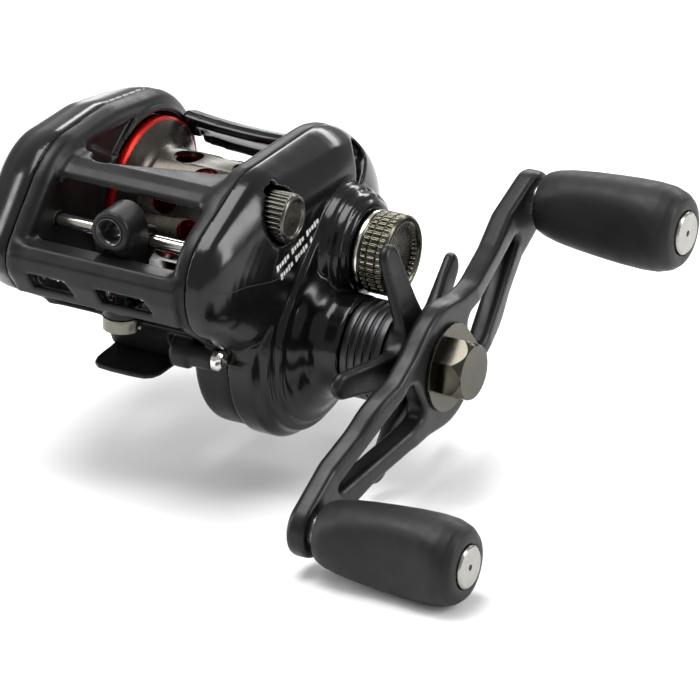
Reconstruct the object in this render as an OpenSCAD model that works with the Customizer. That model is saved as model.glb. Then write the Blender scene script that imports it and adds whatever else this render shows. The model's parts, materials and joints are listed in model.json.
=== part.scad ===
// Low-profile baitcasting reel, left-hand retrieve.
// Frame: X runs along the spool axis towards the crank handle, -Y is the side the line leaves,
// +Z points away from the rod. The origin is the centre of the reel foot's underside.

/* [Frame] */
// Width of the frame between its two side seams
frame_w = 35.5; // [35.5:0.1:36]
// Thickness of the frame's side walls
side_t = 3; // [2.8:0.1:3]
// Length of the reel foot, front to back
foot_len = 60; // [56:1:64]
// Width of the reel foot at its middle
foot_w = 13; // [11:0.5:15]
// Thickness of the reel foot
foot_t = 1.7; // [1.5:0.1:1.8]

/* [Spool] */
// Height of the spool axis above the foot's underside
spool_z = 17.7; // [17.6:0.1:17.8]
// Distance of the spool axis behind the foot's middle
spool_y = 4.6; // [4.5:0.1:4.7]
// Radius of the spool's flanges
spool_r = 15.2; // [15:0.1:15.3]
// Radius of the drum that the line winds on
drum_r = 10.2; // [9:0.1:11]

/* [Gears] */
// Teeth on the main gear
main_teeth = 78; // [78]
// Teeth on the pinion
pinion_teeth = 12; // [12]

/* [Handle] */
// Distance between the two knob axes
handle_span = 85.4; // [80:0.2:90]
// Tilt of the handle, from straight back towards straight up
handle_tilt = 22.2; // [0:0.1:90]
// Radius of a star drag arm's tip
star_r = 23.3; // [22:0.1:24]
// Largest radius of a handle knob
knob_r = 8; // [7.5:0.1:8.5]

/* [Line guide] */
// Radius of the hole that the line runs through
eye_hole_r = 1.9; // [1.6:0.1:2.2]
// Rest position of the line guide, right of the middle
guide_x = 1; // [-4:0.5:4]

/* [Hidden] */
$fn = 64;
hull_fn = 32;

// Stations along X
palm_x = -frame_w / 2;
gear_x = frame_w / 2;
palm_wall_x = palm_x + side_t;
gear_wall_x = gear_x - side_t;
pocket_x = gear_wall_x + 0.85;
cover_end_x = -29.4;
rim_x = 22.1;
crank_boss_x = 34.3;
star_x = 42.4;
arm_x = 47.5;
arm_face_x = 51.5;
nut_x = 56.8;
knob_base_x = 49;
knob_end_x = 78;

// Crank axis and the gear train
crank_y = -4;
crank_z = 3;
mesh_dist = norm([spool_y - crank_y, spool_z - crank_z]);
mesh_angle = atan2(spool_z - crank_z, spool_y - crank_y);
main_module = 2 * mesh_dist / (main_teeth + pinion_teeth);
wind_module = 0.5;
wind_teeth = 50;
idler_teeth = 30;
worm_teeth = 14;
worm_y = -30.5;
worm_z = 18;
wind_d1 = wind_module * (wind_teeth + idler_teeth) / 2;
wind_d2 = wind_module * (idler_teeth + worm_teeth) / 2;
wind_d = norm([worm_y - crank_y, worm_z - crank_z]);
wind_line = atan2(worm_z - crank_z, worm_y - crank_y);
idler_turn = acos((wind_d1 * wind_d1 + wind_d * wind_d - wind_d2 * wind_d2) / (2 * wind_d1 * wind_d));
idler_angle = wind_line - idler_turn;
idler_y = crank_y + wind_d1 * cos(idler_angle);
idler_z = crank_z + wind_d1 * sin(idler_angle);
worm_angle = atan2(worm_z - idler_z, worm_y - idler_y);

// Clearances
run_fit = 0.05;
spool_gap = 0.5;
opening_r = spool_r + spool_gap;
sweep_r = opening_r + 0.2;

// Other axes, as [y, z]
bar_yz = [-25.6, 25];
thumbscrew_yz = [-15, 30];
lug_yz = [-25, 5];
cover_screw_spots = [[13.1, 31.2], [18.3, 9.5]];
post_r = 6.6;
post_angle = mesh_angle - 90;
thumb_pin_yz = [18.7, 26.9];
thumb_pin_angle = atan2(thumb_pin_yz[1] - spool_z, thumb_pin_yz[0] - spool_y);
thumb_travel = [2.4, -3.2];
knob_arm = handle_span / 2;

// ---------- shared shapes ----------

// Moves children onto an axis that runs along X through [y, z]
module at(yz) {
    translate([0, yz[0], yz[1]]) children();
}

// Extrudes a [y, z] outline from x0 to x1
module slab(x0, x1) {
    translate([x0, 0, 0]) rotate([90, 0, 90]) linear_extrude(x1 - x0) children();
}

// Solid cylinder along X
module rod(x0, x1, r) {
    translate([x0, 0, 0]) rotate([0, 90, 0]) cylinder(h = x1 - x0, r = r);
}

// Tube along X
module tube(x0, x1, r, bore_r) {
    difference() {
        rod(x0, x1, r);
        rod(x0 - 1, x1 + 1, bore_r);
    }
}

// Solid of revolution about X from [radius, x] points
module turned(points) {
    rotate([0, 90, 0]) rotate_extrude() polygon(points);
}

// Hexagonal bar along X
module hex_bar(x0, x1, across_flats) {
    translate([x0, 0, 0]) rotate([0, 90, 0]) cylinder(h = x1 - x0, r = across_flats / sqrt(3), $fn = 6);
}

// Outline that wraps a list of [y, z, radius] circles, drawn in by inset
module wrap(circles, inset = 0) {
    hull() for (c = circles) translate([c[0], c[1]]) circle(r = c[2] - inset, $fn = hull_fn);
}

// Straight-flanked gear outline with a tooth centred on angle 0
module gear_outline(teeth, mod) {
    pitch_r = mod * teeth / 2;
    tip_r = pitch_r + 0.8 * mod;
    root_r = pitch_r - 1.1 * mod;
    step = 360 / teeth;
    flanks = [[root_r, -0.29], [tip_r, -0.12], [tip_r, 0.12], [root_r, 0.29]];
    polygon([for (i = [0:teeth - 1]) for (f = flanks)
        [f[0] * cos((i + f[1]) * step), f[0] * sin((i + f[1]) * step)]]);
}

// Recess of a Phillips screw, cut into a face that looks along +X
module cross_recess(x, width) {
    for (a = [45, 135]) rotate([a, 0, 0]) translate([x - 0.7, -width / 2, -0.3]) cube([1, width, 0.6]);
}

palm_circles = [
    [spool_y, spool_z, 19.6], [-6, 20.9, 18.1], [-18, 23, 15.8], [-33.3, 21.5, 5.6], [-31.6, 18.4, 5]
];
gear_circles = [[spool_y, spool_z, 20], [-14, 20.6, 17.2], [-26.5, 21.5, 11], [-24.6, 11.6, 4.2]];
housing_r = 18.9;

// ---------- frame and covers ----------

module upper_bar_outline() {
    polygon([
        [-25.4, 33.1], [-24.9, 34.3], [-23.2, 35.4], [-20.6, 36.6], [-20.4, 35.2], [-22.8, 33.9], [-24.3, 32.5]
    ]);
}

module lower_band_outline() {
    polygon([
        [-33, 24.4], [-37.4, 24.6], [-39, 22.8], [-38.6, 19.5], [-37, 15.4],
        [-35.4, 15.2], [-36.8, 19.3], [-37, 22.2], [-33, 22.9]
    ]);
}

// Curved wall around the spool, between two angles
module spool_wall(from_angle, to_angle, inner_r, outer_r) {
    translate([palm_wall_x - 1, spool_y, spool_z]) rotate([90, 0, 90])
        rotate_extrude(angle = to_angle - from_angle, start = from_angle)
            translate([inner_r, 0]) square([outer_r - inner_r, gear_wall_x - palm_wall_x + 2]);
}

// Slot with slanted ends through the front band
module band_slot(x0, x1) {
    rotate([90, 0, 0]) translate([0, 0, 30]) linear_extrude(12)
        polygon([[x0 + 0.8, 17.2], [x1, 17.2], [x1 - 1.4, 19.8], [x0, 19.8]]);
}

// Half cup on the spool side of the gear housing
module housing_cup() {
    difference() {
        at([crank_y, crank_z]) rod(10, gear_x, 18.2);
        difference() {
            at([crank_y, crank_z]) rod(11.6, gear_x + 1, 16.6);
            at([spool_y, spool_z]) rod(5, gear_x + 2, 17.3);
        }
    }
}

module foot_seats() {
    slab(-foot_w / 2, foot_w / 2) polygon([[-25, 8.6], [-22, foot_t], [-5, foot_t], [-3, 5], [-10, 9], [-20, 11]]);
    slab(-foot_w / 2, foot_w / 2) polygon([[12, 5], [14, foot_t], [22, foot_t], [25, 9], [20, 12]]);
}

module frame_solids() {
    slab(palm_x, palm_wall_x) wrap(palm_circles);
    slab(gear_wall_x, gear_x) wrap(gear_circles);
    housing_cup();
    slab(palm_x + 1, gear_x - 1) upper_bar_outline();
    slab(palm_x + 1, gear_x - 1) lower_band_outline();
    slab(palm_x + 1, gear_x - 1) polygon([[-26.7, 9.1], [-25.8, 10.5], [-12, 5.4], [-12, 3]]);
    spool_wall(-70, -8, opening_r + 0.3, opening_r + 1.9);
    foot_seats();
    at(lug_yz) rod(8.6, 12.1, 2.9);
    at(lug_yz) rod(12.1, 16.7, 2.3);
    slab(8.6, 12.1) polygon([[-27, 5], [-25, 9.8], [-19, 7.4], [-22, 3]]);
    at([crank_y, crank_z]) rod(pocket_x - 0.8, gear_x, 6.5);
    for (a = [0, 180]) at([spool_y, spool_z]) rotate([post_angle + a, 0, 0]) translate([0, post_r, 0])
        rod(gear_x - 1, 30, 1);
}

// Slot that the thumb bar's pin slides in, from x0 to x1
module thumb_slot(x0, x1) {
    slab(x0, x1) hull() for (t = [0, 1])
        translate(thumb_pin_yz + t * thumb_travel) circle(r = 1.1, $fn = hull_fn);
}

module frame() color([0.13, 0.13, 0.14]) {
    difference() {
        frame_solids();
        at([spool_y, spool_z]) rod(palm_x - 1, palm_x + side_t + 1, opening_r);
        at([spool_y, spool_z]) rod(palm_wall_x, gear_wall_x, sweep_r);
        at([spool_y, spool_z]) rod(gear_wall_x - 1, pocket_x, opening_r);
        at([spool_y, spool_z]) rod(pocket_x - 1, gear_x + 1, 5);
        at([crank_y, crank_z]) rod(gear_x - 1.35, gear_x + 1, 5);
        for (yz = [[worm_y, worm_z], bar_yz]) at(yz) rod(palm_x + 1, palm_wall_x + 1, yz == bar_yz ? 1.25 : 2.6);
        at(bar_yz) rod(gear_wall_x - 1, gear_x - 1, 1.25);
        at([worm_y, worm_z]) rod(gear_wall_x - 1, gear_x + 1, 2.6);
        at(thumbscrew_yz) rod(gear_wall_x + 0.6, gear_x + 1, 1.25);
        for (yz = cover_screw_spots) at(yz) rod(gear_wall_x + 0.6, gear_x + 1, 1);
        thumb_slot(gear_wall_x - 1, gear_x + 1);
        band_slot(-13.6, -4.6);
        band_slot(0.2, 11.4);
        at([idler_y, idler_z]) rod(gear_x - 1.6, gear_x + 1, 1);
        at(lug_yz) rod(13, 19, 1.1);
        at(lug_yz) rod(16.75, 19, 2.4);
        translate([-foot_w / 2 - 0.1, -foot_len / 2, -1]) cube([foot_w + 0.2, foot_len, 1 + foot_t]);
    }
}

// Foot plate: tapered in plan, with the ends thinned for the reel seat's hoods
module reel_foot() color([0.12, 0.12, 0.13]) {
    half = foot_len / 2;
    difference() {
        intersection() {
            linear_extrude(foot_t) polygon([
                [-foot_w / 2, -half * 0.45], [-6.6, -half + 3], [-4.8, -half + 0.5], [0, -half],
                [4.8, -half + 0.5], [6.6, -half + 3], [foot_w / 2, -half * 0.45],
                [foot_w / 2, half * 0.45], [5.6, half - 2], [4.4, half - 0.5], [0, half],
                [-4.4, half - 0.5], [-5.6, half - 2], [-foot_w / 2, half * 0.45]
            ]);
            slab(-foot_w, foot_w) polygon([
                [-half, 0], [-half, 0.9], [-half * 0.6, foot_t], [half * 0.6, foot_t], [half, 0.9], [half, 0]
            ]);
        }
        for (y = [-16, 18]) for (x = [-3.6, 3.6]) translate([x, y, -1]) cylinder(h = 4, r = 1);
    }
}

module foot_rivets() color([0.45, 0.44, 0.42]) {
    for (y = [-16, 18]) for (x = [-3.6, 3.6]) translate([x, y, 0.15]) cylinder(h = foot_t - 0.15, r = 1);
}

// Smooth shell over layers of [x, inset, circles]
module dome(layers) {
    hull() for (layer = layers) for (c = layer[2])
        at([c[0], c[1]]) rod(layer[0], layer[0] + 0.4, c[2] - layer[1], $fn = hull_fn);
}

// Domed side cover that fits the palm
module palm_dome(grow) {
    dome([
        [palm_x - 1.6, grow, palm_circles], [palm_x - 0.4, grow, palm_circles], [palm_x - 5.4, grow + 0.9, palm_circles],
        [palm_x - 8.8, grow + 0.7, [for (c = palm_circles) [c[0] * 0.9, c[1], c[2] * 0.88]]],
        [cover_end_x, grow, [for (c = palm_circles) [c[0] * 0.62 - 2, c[1] * 0.9 + 2.2, c[2] * 0.56]]]
    ]);
}

module palm_side_cover() color([0.07, 0.07, 0.08]) {
    plate_t = 1.4;
    difference() {
        union() {
            difference() {
                palm_dome(0);
                intersection() {
                    translate([1.5, 0, 0]) palm_dome(1.6);
                    translate([-60, -60, -20]) cube([60 + palm_x - plate_t, 100, 80]);
                }
            }
            at([spool_y, spool_z]) tube(palm_x - 1, palm_x + 1.7, opening_r - 0.05, 14.3);
            at([spool_y, spool_z]) rod(-28.3, -20.9, 6.2);
        }
        at([spool_y, spool_z]) rod(palm_x - plate_t - 0.3, palm_x + 3, 14.3);
        at([spool_y, spool_z]) rod(-31, -26, 5);
        at([spool_y, spool_z]) rod(-27, -16, 1.8);
        at([spool_y, spool_z]) rod(-24.2, -16, 5);
    }
}

// Turned part of the gear cover around the crank axis
module crank_housing() {
    turned([
        [0, gear_x], [housing_r, gear_x], [housing_r, rim_x], [18.2, 22.8], [17.6, 23], [17, 24.8],
        [14.6, 26.6], [12.9, 27.2], [12.2, 28.6], [10.2, 29.4], [9.3, 30.6], [9.2, crank_boss_x - 0.5],
        [8.8, crank_boss_x], [0, crank_boss_x]
    ]);
}

// Stepped boss that carries the cast control cap
module cast_boss() {
    turned([
        [0, 22], [14.4, 22], [14.2, 27], [13.4, 27.6], [12.4, 27.6], [12.2, 28.6], [11.2, 28.8],
        [10.9, 29.8], [9.6, 30], [9.3, 30.8], [6.1, 31], [6.1, 34], [0, 34]
    ]);
}

module gear_dome(grow) {
    dome([
        [gear_x, grow, gear_circles], [gear_x + 0.8, grow, gear_circles], [21.4, grow + 0.9, gear_circles],
        [24, grow, [[spool_y, spool_z, 17.2], [-13.5, 20.2, 14], [-24, 20.4, 8], [-21.5, 13, 4]]],
        [25.8, grow, [[spool_y, spool_z, 14], [-11, 19.5, 10.5], [-18, 18.4, 5], [-16, 14, 3]]]
    ]);
}

module gear_side_cover() color([0.06, 0.06, 0.07]) {
    difference() {
        union() {
            gear_dome(0);
            at([crank_y, crank_z]) crank_housing();
            at([spool_y, spool_z]) cast_boss();
        }
        difference() {
            union() {
                translate([-1.3, 0, 0]) gear_dome(1.5);
                at([crank_y, crank_z]) turned([
                    [0, gear_x - 1], [17.4, gear_x - 1], [17.4, 21.6], [15.9, 24.2], [12.6, 25.4], [11, 27], [0, 27]
                ]);
                at([spool_y, spool_z]) rod(gear_x - 1, 27, 11.5);
                at([spool_y, spool_z]) rod(gear_x - 1, 29.7, 8.9);
                at([worm_y, worm_z]) rod(gear_x - 1, 20.3, 4.4);
                at([idler_y, idler_z]) rod(gear_x - 1, 20.6, 8.3);
            }
            at(thumbscrew_yz) rod(gear_x - 2, 22, 6.2);
            for (yz = cover_screw_spots) at(yz) rod(gear_x - 2, 24, 3.3);
        }
        at([crank_y, crank_z]) rod(20, 33.5, 7);
        at([crank_y, crank_z]) rod(20, 40, 4.6);
        at([spool_y, spool_z]) rod(20, 33.1, 4.5);
        at([spool_y, spool_z]) rod(20, 31.2, 4.9);
        at([spool_y, spool_z]) rod(20, 40, 1.8);
        at(thumbscrew_yz) rod(19.6, 40, 5);
        at(thumbscrew_yz) rod(gear_x - 3, 40, 1.35);
        for (a = [0, 180]) at([spool_y, spool_z]) rotate([post_angle + a, 0, 0]) translate([0, post_r, 0])
            rod(gear_x - 1, 30.3, 1.3);
        at(lug_yz) rod(gear_x - 1, 30, 2.3);
        thumb_slot(gear_x - 1, 19.8);
        for (yz = cover_screw_spots) at(yz) rod(20.4, 40, 2.3);
        for (yz = cover_screw_spots) at(yz) rod(gear_x - 1, 40, 1.1);
    }
}

module cover_screws() color([0.5, 0.48, 0.45]) {
    for (yz = cover_screw_spots) at(yz) difference() {
        union() {
            rod(gear_wall_x + 0.8, 20.5, 1);
            turned([[0, 20.4], [1.9, 20.4], [1.9, 21.2], [1.1, 21.7], [0, 21.7]]);
        }
        cross_recess(21.7, 2.2);
    }
}

module lug_screw() color([0.7, 0.68, 0.64]) {
    at(lug_yz) difference() {
        union() {
            rod(13.2, 16.9, 1.05);
            turned([[0, 16.8], [2.1, 16.8], [2.1, 17.8], [1.3, 18.4], [0, 18.4]]);
        }
        cross_recess(18.4, 2.6);
    }
}

// ---------- bearings and fixed guides ----------

// Ball bearing shown as outer race, shield and inner race in one turned ring
module ball_bearing(x0, x1, r, bore_r) {
    depth = 0.2;
    ri = bore_r + 0.7;
    ro = r - 0.7;
    turned([
        [bore_r, x0], [ri, x0], [ri, x0 + depth], [ro, x0 + depth], [ro, x0], [r, x0],
        [r, x1], [ro, x1], [ro, x1 - depth], [ri, x1 - depth], [ri, x1], [bore_r, x1]
    ]);
}

module palm_bearing() color([0.75, 0.75, 0.76]) at([spool_y, spool_z]) ball_bearing(-23.8, -21.2, 5, 1.55);

module spool_bearing() color([0.75, 0.75, 0.76]) at([spool_y, spool_z]) ball_bearing(30.7, 33, 4.5, 1.55);

module pinion_bearing() color([0.75, 0.75, 0.76])
    at([spool_y, spool_z]) ball_bearing(16, gear_x, 5, 2.9 + run_fit);

module crank_bushing() color([0.72, 0.58, 0.3])
    at([crank_y, crank_z]) tube(gear_x - 1.35, gear_x, 5, 3 + run_fit);

module one_way_bearing() color([0.7, 0.7, 0.72]) at([crank_y, crank_z]) {
    tube(27.4, 33.4, 7, 4 + run_fit);
}

module guide_bar() color([0.78, 0.76, 0.72]) at(bar_yz) rod(palm_x + 1.2, gear_x - 1.2, 1.25);

// Tube round the worm shaft, open at the front and underneath for the guide and its pawl
module worm_guard() color([0.2, 0.2, 0.2]) at([worm_y, worm_z]) {
    difference() {
        tube(palm_wall_x + 0.1, gear_wall_x - 0.1, 3.2, 2.4);
        translate([-14.2, -4, -4]) cube([28.4, 5, 8]);
        translate([-14.2, -4, -4]) cube([28.4, 8, 4]);
    }
}

module worm_bushes() color([0.85, 0.84, 0.8]) at([worm_y, worm_z]) {
    tube(palm_x + 1, palm_wall_x, 2.6, 1.3 + run_fit);
    tube(gear_wall_x, gear_x, 2.6, 1.3 + run_fit);
}

module idler_post() color([0.7, 0.68, 0.66]) at([idler_y, idler_z]) {
    rod(gear_x - 1.6, 20.1, 1);
    rod(19.9, 20.3, 1.7);
}

// ---------- spool ----------

module spool() color([0.33, 0.32, 0.3]) {
    hole_rows = [-6, 0, 6];
    at([spool_y, spool_z]) difference() {
        turned([
            [1.5, -13], [3, -13], [3, -1], [drum_r - 1, -1], [drum_r - 1, -12.4], [14.3, -14.8],
            [spool_r, -14.8], [spool_r, -13.4], [14.4, -13.1], [drum_r + 0.6, -11.4], [drum_r, -10.6],
            [drum_r, 10.6], [drum_r + 0.6, 11.4], [14.4, 13.1], [spool_r, 13.4], [spool_r, 14.8],
            [14.3, 14.8], [drum_r - 1, 12.4], [drum_r - 1, 1], [3, 1], [3, 13], [1.5, 13]
        ]);
        for (row = [0:2]) for (i = [0:5]) rotate([i * 60 + row * 30, 0, 0])
            translate([hole_rows[row], 0, 5]) cylinder(h = 8, r = 2.7);
    }
}

module spool_shaft() color([0.8, 0.79, 0.76]) at([spool_y, spool_z]) {
    rod(-24.1, 34.1, 1.5);
}

module spool_pin() color([0.8, 0.79, 0.76]) at([spool_y, spool_z])
    translate([16, 0, 0]) rotate([mesh_angle, 0, 0]) difference() {
        translate([0, 0, -2.6]) cylinder(h = 5.2, r = 0.5);
        translate([-1, 0, 0]) rod(-1, 3, 1.5);
    }

// ---------- clutch ----------

module pinion() color([0.8, 0.66, 0.36]) at([spool_y, spool_z]) difference() {
    union() {
        rod(15, 18.1, 2.9);
        slab(18, 25.4) rotate(mesh_angle + 180 + 180 / pinion_teeth) gear_outline(pinion_teeth, main_module);
        rod(25.3, 27, 1.9);
        rod(26.9, 27.5, 2.7);
    }
    rod(14, 30, 1.5 + run_fit);
    rotate([mesh_angle, 0, 0]) translate([14, -0.65, -4]) cube([2.7, 1.3, 8]);
}

// Yoke: sits in the pinion's groove and slides on two posts
module clutch_yoke() color([0.6, 0.6, 0.58]) at([spool_y, spool_z]) difference() {
    union() {
        slab(25.6, 26.6) hull() for (a = [0, 180])
            rotate(post_angle + a) translate([post_r, 0]) circle(r = 2, $fn = hull_fn);
        rod(25.6, 26.6, 3.8);
    }
    rod(25, 28, 2);
    rotate([post_angle, 0, 0]) translate([25, -2, 0]) cube([2, 4, 6]);
    for (a = [0, 180]) rotate([post_angle + a, 0, 0]) translate([0, post_r, 0]) rod(25, 28, 1 + run_fit);
}

// Closed rings stand for the turns of each return spring
module yoke_springs() color([0.75, 0.75, 0.75]) {
    turns = 4;
    for (a = [0, 180]) at([spool_y, spool_z]) rotate([post_angle + a, 0, 0]) translate([0, post_r, 0])
        for (i = [0:turns - 1]) tube(26.7 + i * 0.88, 27 + i * 0.88, 1.7, 1.2);
}

// Clutch cam: a ring with two lifting blocks under the yoke and a cranked arm out to the thumb bar's pin
module clutch_cam() color([0.55, 0.55, 0.53]) at([spool_y, spool_z]) {
    difference() {
        union() {
            rod(23.2, 24.2, 5.3);
            for (a = [0, 180]) rotate([post_angle + a + 40, 0, 0]) translate([24.1, 3.6, -1.2]) cube([1.2, 1.4, 2.4]);
            rotate([thumb_pin_angle, 0, 0]) {
                translate([23.2, 4, -1.5]) cube([1, 7.4, 3]);
                translate([18.1, 9.6, -1.2]) cube([6, 1.7, 2.4]);
                slab(18.1, 19.1) difference() {
                    polygon([[9.3, -1.6], [14, -2.2], [17.5, -2.2], [17.5, 2.2], [14, 2.2], [9.3, 1.6]]);
                    translate([15.9, -1]) square([3, 2]);
                }
            }
        }
        rod(22, 27, 3.2);
    }
}

// Lever that the ratchet knocks back when the crank turns
module kick_lever() color([0.62, 0.6, 0.56]) at([spool_y, spool_z])
    rotate([mesh_angle + 180 + 22, 0, 0]) slab(24.2, 25)
        polygon([[3.6, -1.2], [8.6, -1], [9.6, 0.6], [8.4, 1.2], [3.6, 1.2]]);

// Thumb bar: a curved pad behind the spool with a tongue at each end
module thumb_bar() color([0.1, 0.1, 0.11]) {
    half = gear_wall_x - 0.4;
    slab(-half, half) polygon([
        [15.2, 29.5], [15.6, 30.4], [17.4, 30.6], [20, 29.6], [22.4, 27.4], [24, 25], [24.6, 22], [23.4, 21.8],
        [22.4, 24.2], [20.4, 26.6], [17.8, 28.4]
    ]);
    for (x = [-half, half - 2]) slab(x, x + 2)
        polygon([[16.6, 29.6], [17.9, 27.2], [19.4, 24.6], [22.4, 24.2], [20.6, 27.6], [17.6, 30.2]]);
    at(thumb_pin_yz) rod(half - 1, 19.3, 0.8);
}

// ---------- crank and drag ----------

module main_gear() color([0.8, 0.66, 0.36]) at([crank_y, crank_z]) difference() {
    union() {
        slab(20, 23) rotate(mesh_angle) gear_outline(main_teeth, main_module);
    }
    rod(19, 24, 3.3);
    rod(21.2, 24, 11);
    for (i = [0:5]) rotate([i * 60, 0, 0]) translate([0, 8, 0]) rod(19, 22, 1.6);
}

module wind_gear() color([0.88, 0.87, 0.82]) at([crank_y, crank_z]) difference() {
    slab(18, 19.6) rotate(idler_angle) gear_outline(wind_teeth, wind_module);
    rod(17, 21, 3);
    for (i = [0:4]) rotate([i * 72, 0, 0]) translate([0, 8, 0]) rod(17, 21, 2);
}

module drive_shaft() color([0.72, 0.68, 0.6]) at([crank_y, crank_z]) {
    rod(gear_x - 1.25, 55, 3);
    rod(19.7, 19.9, 4.4);
}

module carbon_washers() color([0.12, 0.12, 0.12]) at([crank_y, crank_z]) {
    tube(21.2, 21.6, 10.8, 3.3);
    tube(22.2, 22.6, 10.8, 3.3);
}

module key_washers() color([0.68, 0.68, 0.68]) at([crank_y, crank_z]) tube(21.65, 22.15, 10.6, 3);

module pressure_plate() color([0.7, 0.7, 0.7]) at([crank_y, crank_z]) tube(22.65, 23.6, 10.6, 3);

module kick_ratchet() color([0.66, 0.64, 0.6]) at([crank_y, crank_z]) difference() {
    teeth = 8;
    slab(24, 25) polygon([for (i = [0:teeth - 1]) for (k = [0, 1])
        (k == 0 ? 6.8 : 5) * [cos((i + 0.1 * k) * 360 / teeth), sin((i + 0.1 * k) * 360 / teeth)]]);
    rod(23, 26, 3);
}

module clutch_sleeve() color([0.78, 0.77, 0.75]) at([crank_y, crank_z]) tube(25.2, 34, 4, 3);

module spring_washers() color([0.74, 0.74, 0.74]) at([crank_y, crank_z]) {
    for (i = [0:3]) turned([
        [3.1, 35 + i * 0.8 + 0.3 * (i % 2)], [5.6, 35.3 + i * 0.8 - 0.3 * (i % 2)],
        [5.6, 35.6 + i * 0.8 - 0.3 * (i % 2)], [3.1, 35.3 + i * 0.8 + 0.3 * (i % 2)]
    ]);
}

// ---------- handle ----------

// One half of the handle's outline; u runs out to the knob, v across
module handle_half() {
    hull() {
        circle(r = 11, $fn = hull_fn);
        translate([19, -1.6]) circle(r = 6.8, $fn = hull_fn);
    }
    hull() {
        translate([19, -1.6]) circle(r = 6.6, $fn = hull_fn);
        translate([knob_arm, 0]) circle(r = 5.2, $fn = hull_fn);
    }
}

module handle_window() {
    hull() {
        translate([12, -3.6]) circle(r = 2, $fn = hull_fn);
        translate([11.2, 0.8]) circle(r = 2, $fn = hull_fn);
        translate([33, -1.2]) circle(r = 0.9, $fn = hull_fn);
    }
}

// Side view of the handle: it steps in towards the reel at both ends
module handle_side() {
    end_in = 3.4;
    far = knob_arm + 8;
    polygon([
        [-far, arm_x - end_in], [-33, arm_x - end_in], [-13, arm_x], [13, arm_x], [33, arm_x - end_in],
        [far, arm_x - end_in], [far, arm_face_x - end_in], [34, arm_face_x - end_in], [14, arm_face_x],
        [-14, arm_face_x], [-34, arm_face_x - end_in], [-far, arm_face_x - end_in]
    ]);
}

module handle_arm() color([0.1, 0.1, 0.11]) at([crank_y, crank_z]) rotate([handle_tilt, 0, 0]) difference() {
    intersection() {
        slab(arm_x - 5, arm_face_x + 1) difference() {
            for (a = [0, 180]) rotate(a) handle_half();
            for (a = [0, 180]) rotate(a) handle_window();
        }
        translate([0, 0, -20]) linear_extrude(40) rotate(90) mirror([0, 1]) handle_side();
    }
    rod(arm_x - 6, arm_face_x + 2, 3);
    for (s = [-1, 1]) translate([0, s * knob_arm, 0]) rod(arm_x - 6, arm_face_x + 2, 1.8);
}

module handle_nut() color([0.36, 0.35, 0.32]) at([crank_y, crank_z]) difference() {
    intersection() {
        hex_bar(52.2, nut_x, 10);
        turned([[0, 52.2], [5.9, 52.2], [5.9, 54.6], [4.9, nut_x], [0, nut_x]]);
    }
    rod(50, 55.2, 3);
}

module nut_lock_plate() color([0.4, 0.39, 0.36]) at([crank_y, crank_z]) rotate([handle_tilt, 0, 0]) difference() {
    slab(arm_face_x, 52.2) hull() {
        circle(r = 8, $fn = hull_fn);
        translate([7.5, -5.4]) circle(r = 2.4, $fn = hull_fn);
    }
    rod(50, 54, 3);
}

module nut_lock_screw() color([0.75, 0.74, 0.7]) at([crank_y, crank_z]) rotate([handle_tilt, 0, 0])
    translate([0, 7.9, -5.7]) difference() {
        turned([[0, 52.2], [1.7, 52.2], [1.7, 52.9], [1.1, 53.4], [0, 53.4]]);
        cross_recess(53.4, 2);
    }

module at_knob(side) {
    at([crank_y, crank_z]) rotate([handle_tilt, 0, 0]) translate([0, side * knob_arm, 0]) children();
}

module knob_spindles() color([0.76, 0.75, 0.73]) {
    for (s = [-1, 1]) at_knob(s) {
        rod(arm_x - 3.4, 76, 1.8);
        rod(arm_face_x - 3.4, 48.7, 3.4);
    }
}

// Paddle knob: a turned body with two scooped faces
module knob() {
    difference() {
        turned([
            [0, knob_base_x], [4.4, knob_base_x], [5.6, 49.6], [6.5, 51.4], [7, 55], [7.4, 60], [knob_r - 0.2, 66],
            [knob_r, 71], [knob_r - 0.3, 74.4], [6.9, 76.6], [5.4, 77.6], [4, 77.7], [4, 76.7], [0, 76.7]
        ]);
        for (s = [-1, 1]) translate([62, s * 46.2, -20]) cylinder(h = 40, r = 40.4, $fn = 128);
        rod(knob_base_x - 1, 76.4, 3.4);
    }
}

module knob_bushes() {
    tube(knob_base_x + 0.2, knob_base_x + 4.2, 3.4, 1.8 + run_fit);
    tube(70.2, 74.2, 3.4, 1.8 + run_fit);
}

module knob_cap() {
    difference() {
        turned([[0, 76.8], [3.9, 76.8], [3.9, 77.7], [3.6, knob_end_x], [0, knob_end_x]]);
        rod(77.2, 79, 0.55);
    }
}

module rear_knob() color([0.12, 0.12, 0.12]) at_knob(1) knob();
module front_knob() color([0.12, 0.12, 0.12]) at_knob(-1) knob();
module rear_knob_cap() color([0.72, 0.71, 0.69]) at_knob(1) knob_cap();
module front_knob_cap() color([0.72, 0.71, 0.69]) at_knob(-1) knob_cap();
module rear_knob_bushes() color([0.85, 0.83, 0.78]) at_knob(1) knob_bushes();
module front_knob_bushes() color([0.85, 0.83, 0.78]) at_knob(-1) knob_bushes();

// ---------- star drag ----------

star_arms = 5;
star_phase = 29.6;

module star_arm_outline() {
    hull() {
        translate([6, 0]) circle(r = 3.4, $fn = hull_fn);
        translate([star_r - 2.6, 0]) circle(r = 2.6, $fn = hull_fn);
    }
}

module star_drag() color([0.11, 0.11, 0.12]) at([crank_y, crank_z]) difference() {
    union() {
        turned([[0, star_x], [8.4, star_x], [8.2, 44], [7, 46], [0, 46.6]]);
        intersection() {
            slab(40, 47) for (i = [0:star_arms - 1]) rotate(star_phase + i * 72) star_arm_outline();
            turned([
                [0, 42.8], [10, 42.8], [15, 42], [star_r, 40.6], [star_r + 1, 40.8], [star_r + 0.6, 42.4], [18, 43.4],
                [12, 45], [8, 46.3], [0, 46.6]
            ]);
        }
    }
    rod(40, 50, 3 + run_fit);
    hex_bar(40, 44.6, 9);
}

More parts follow.
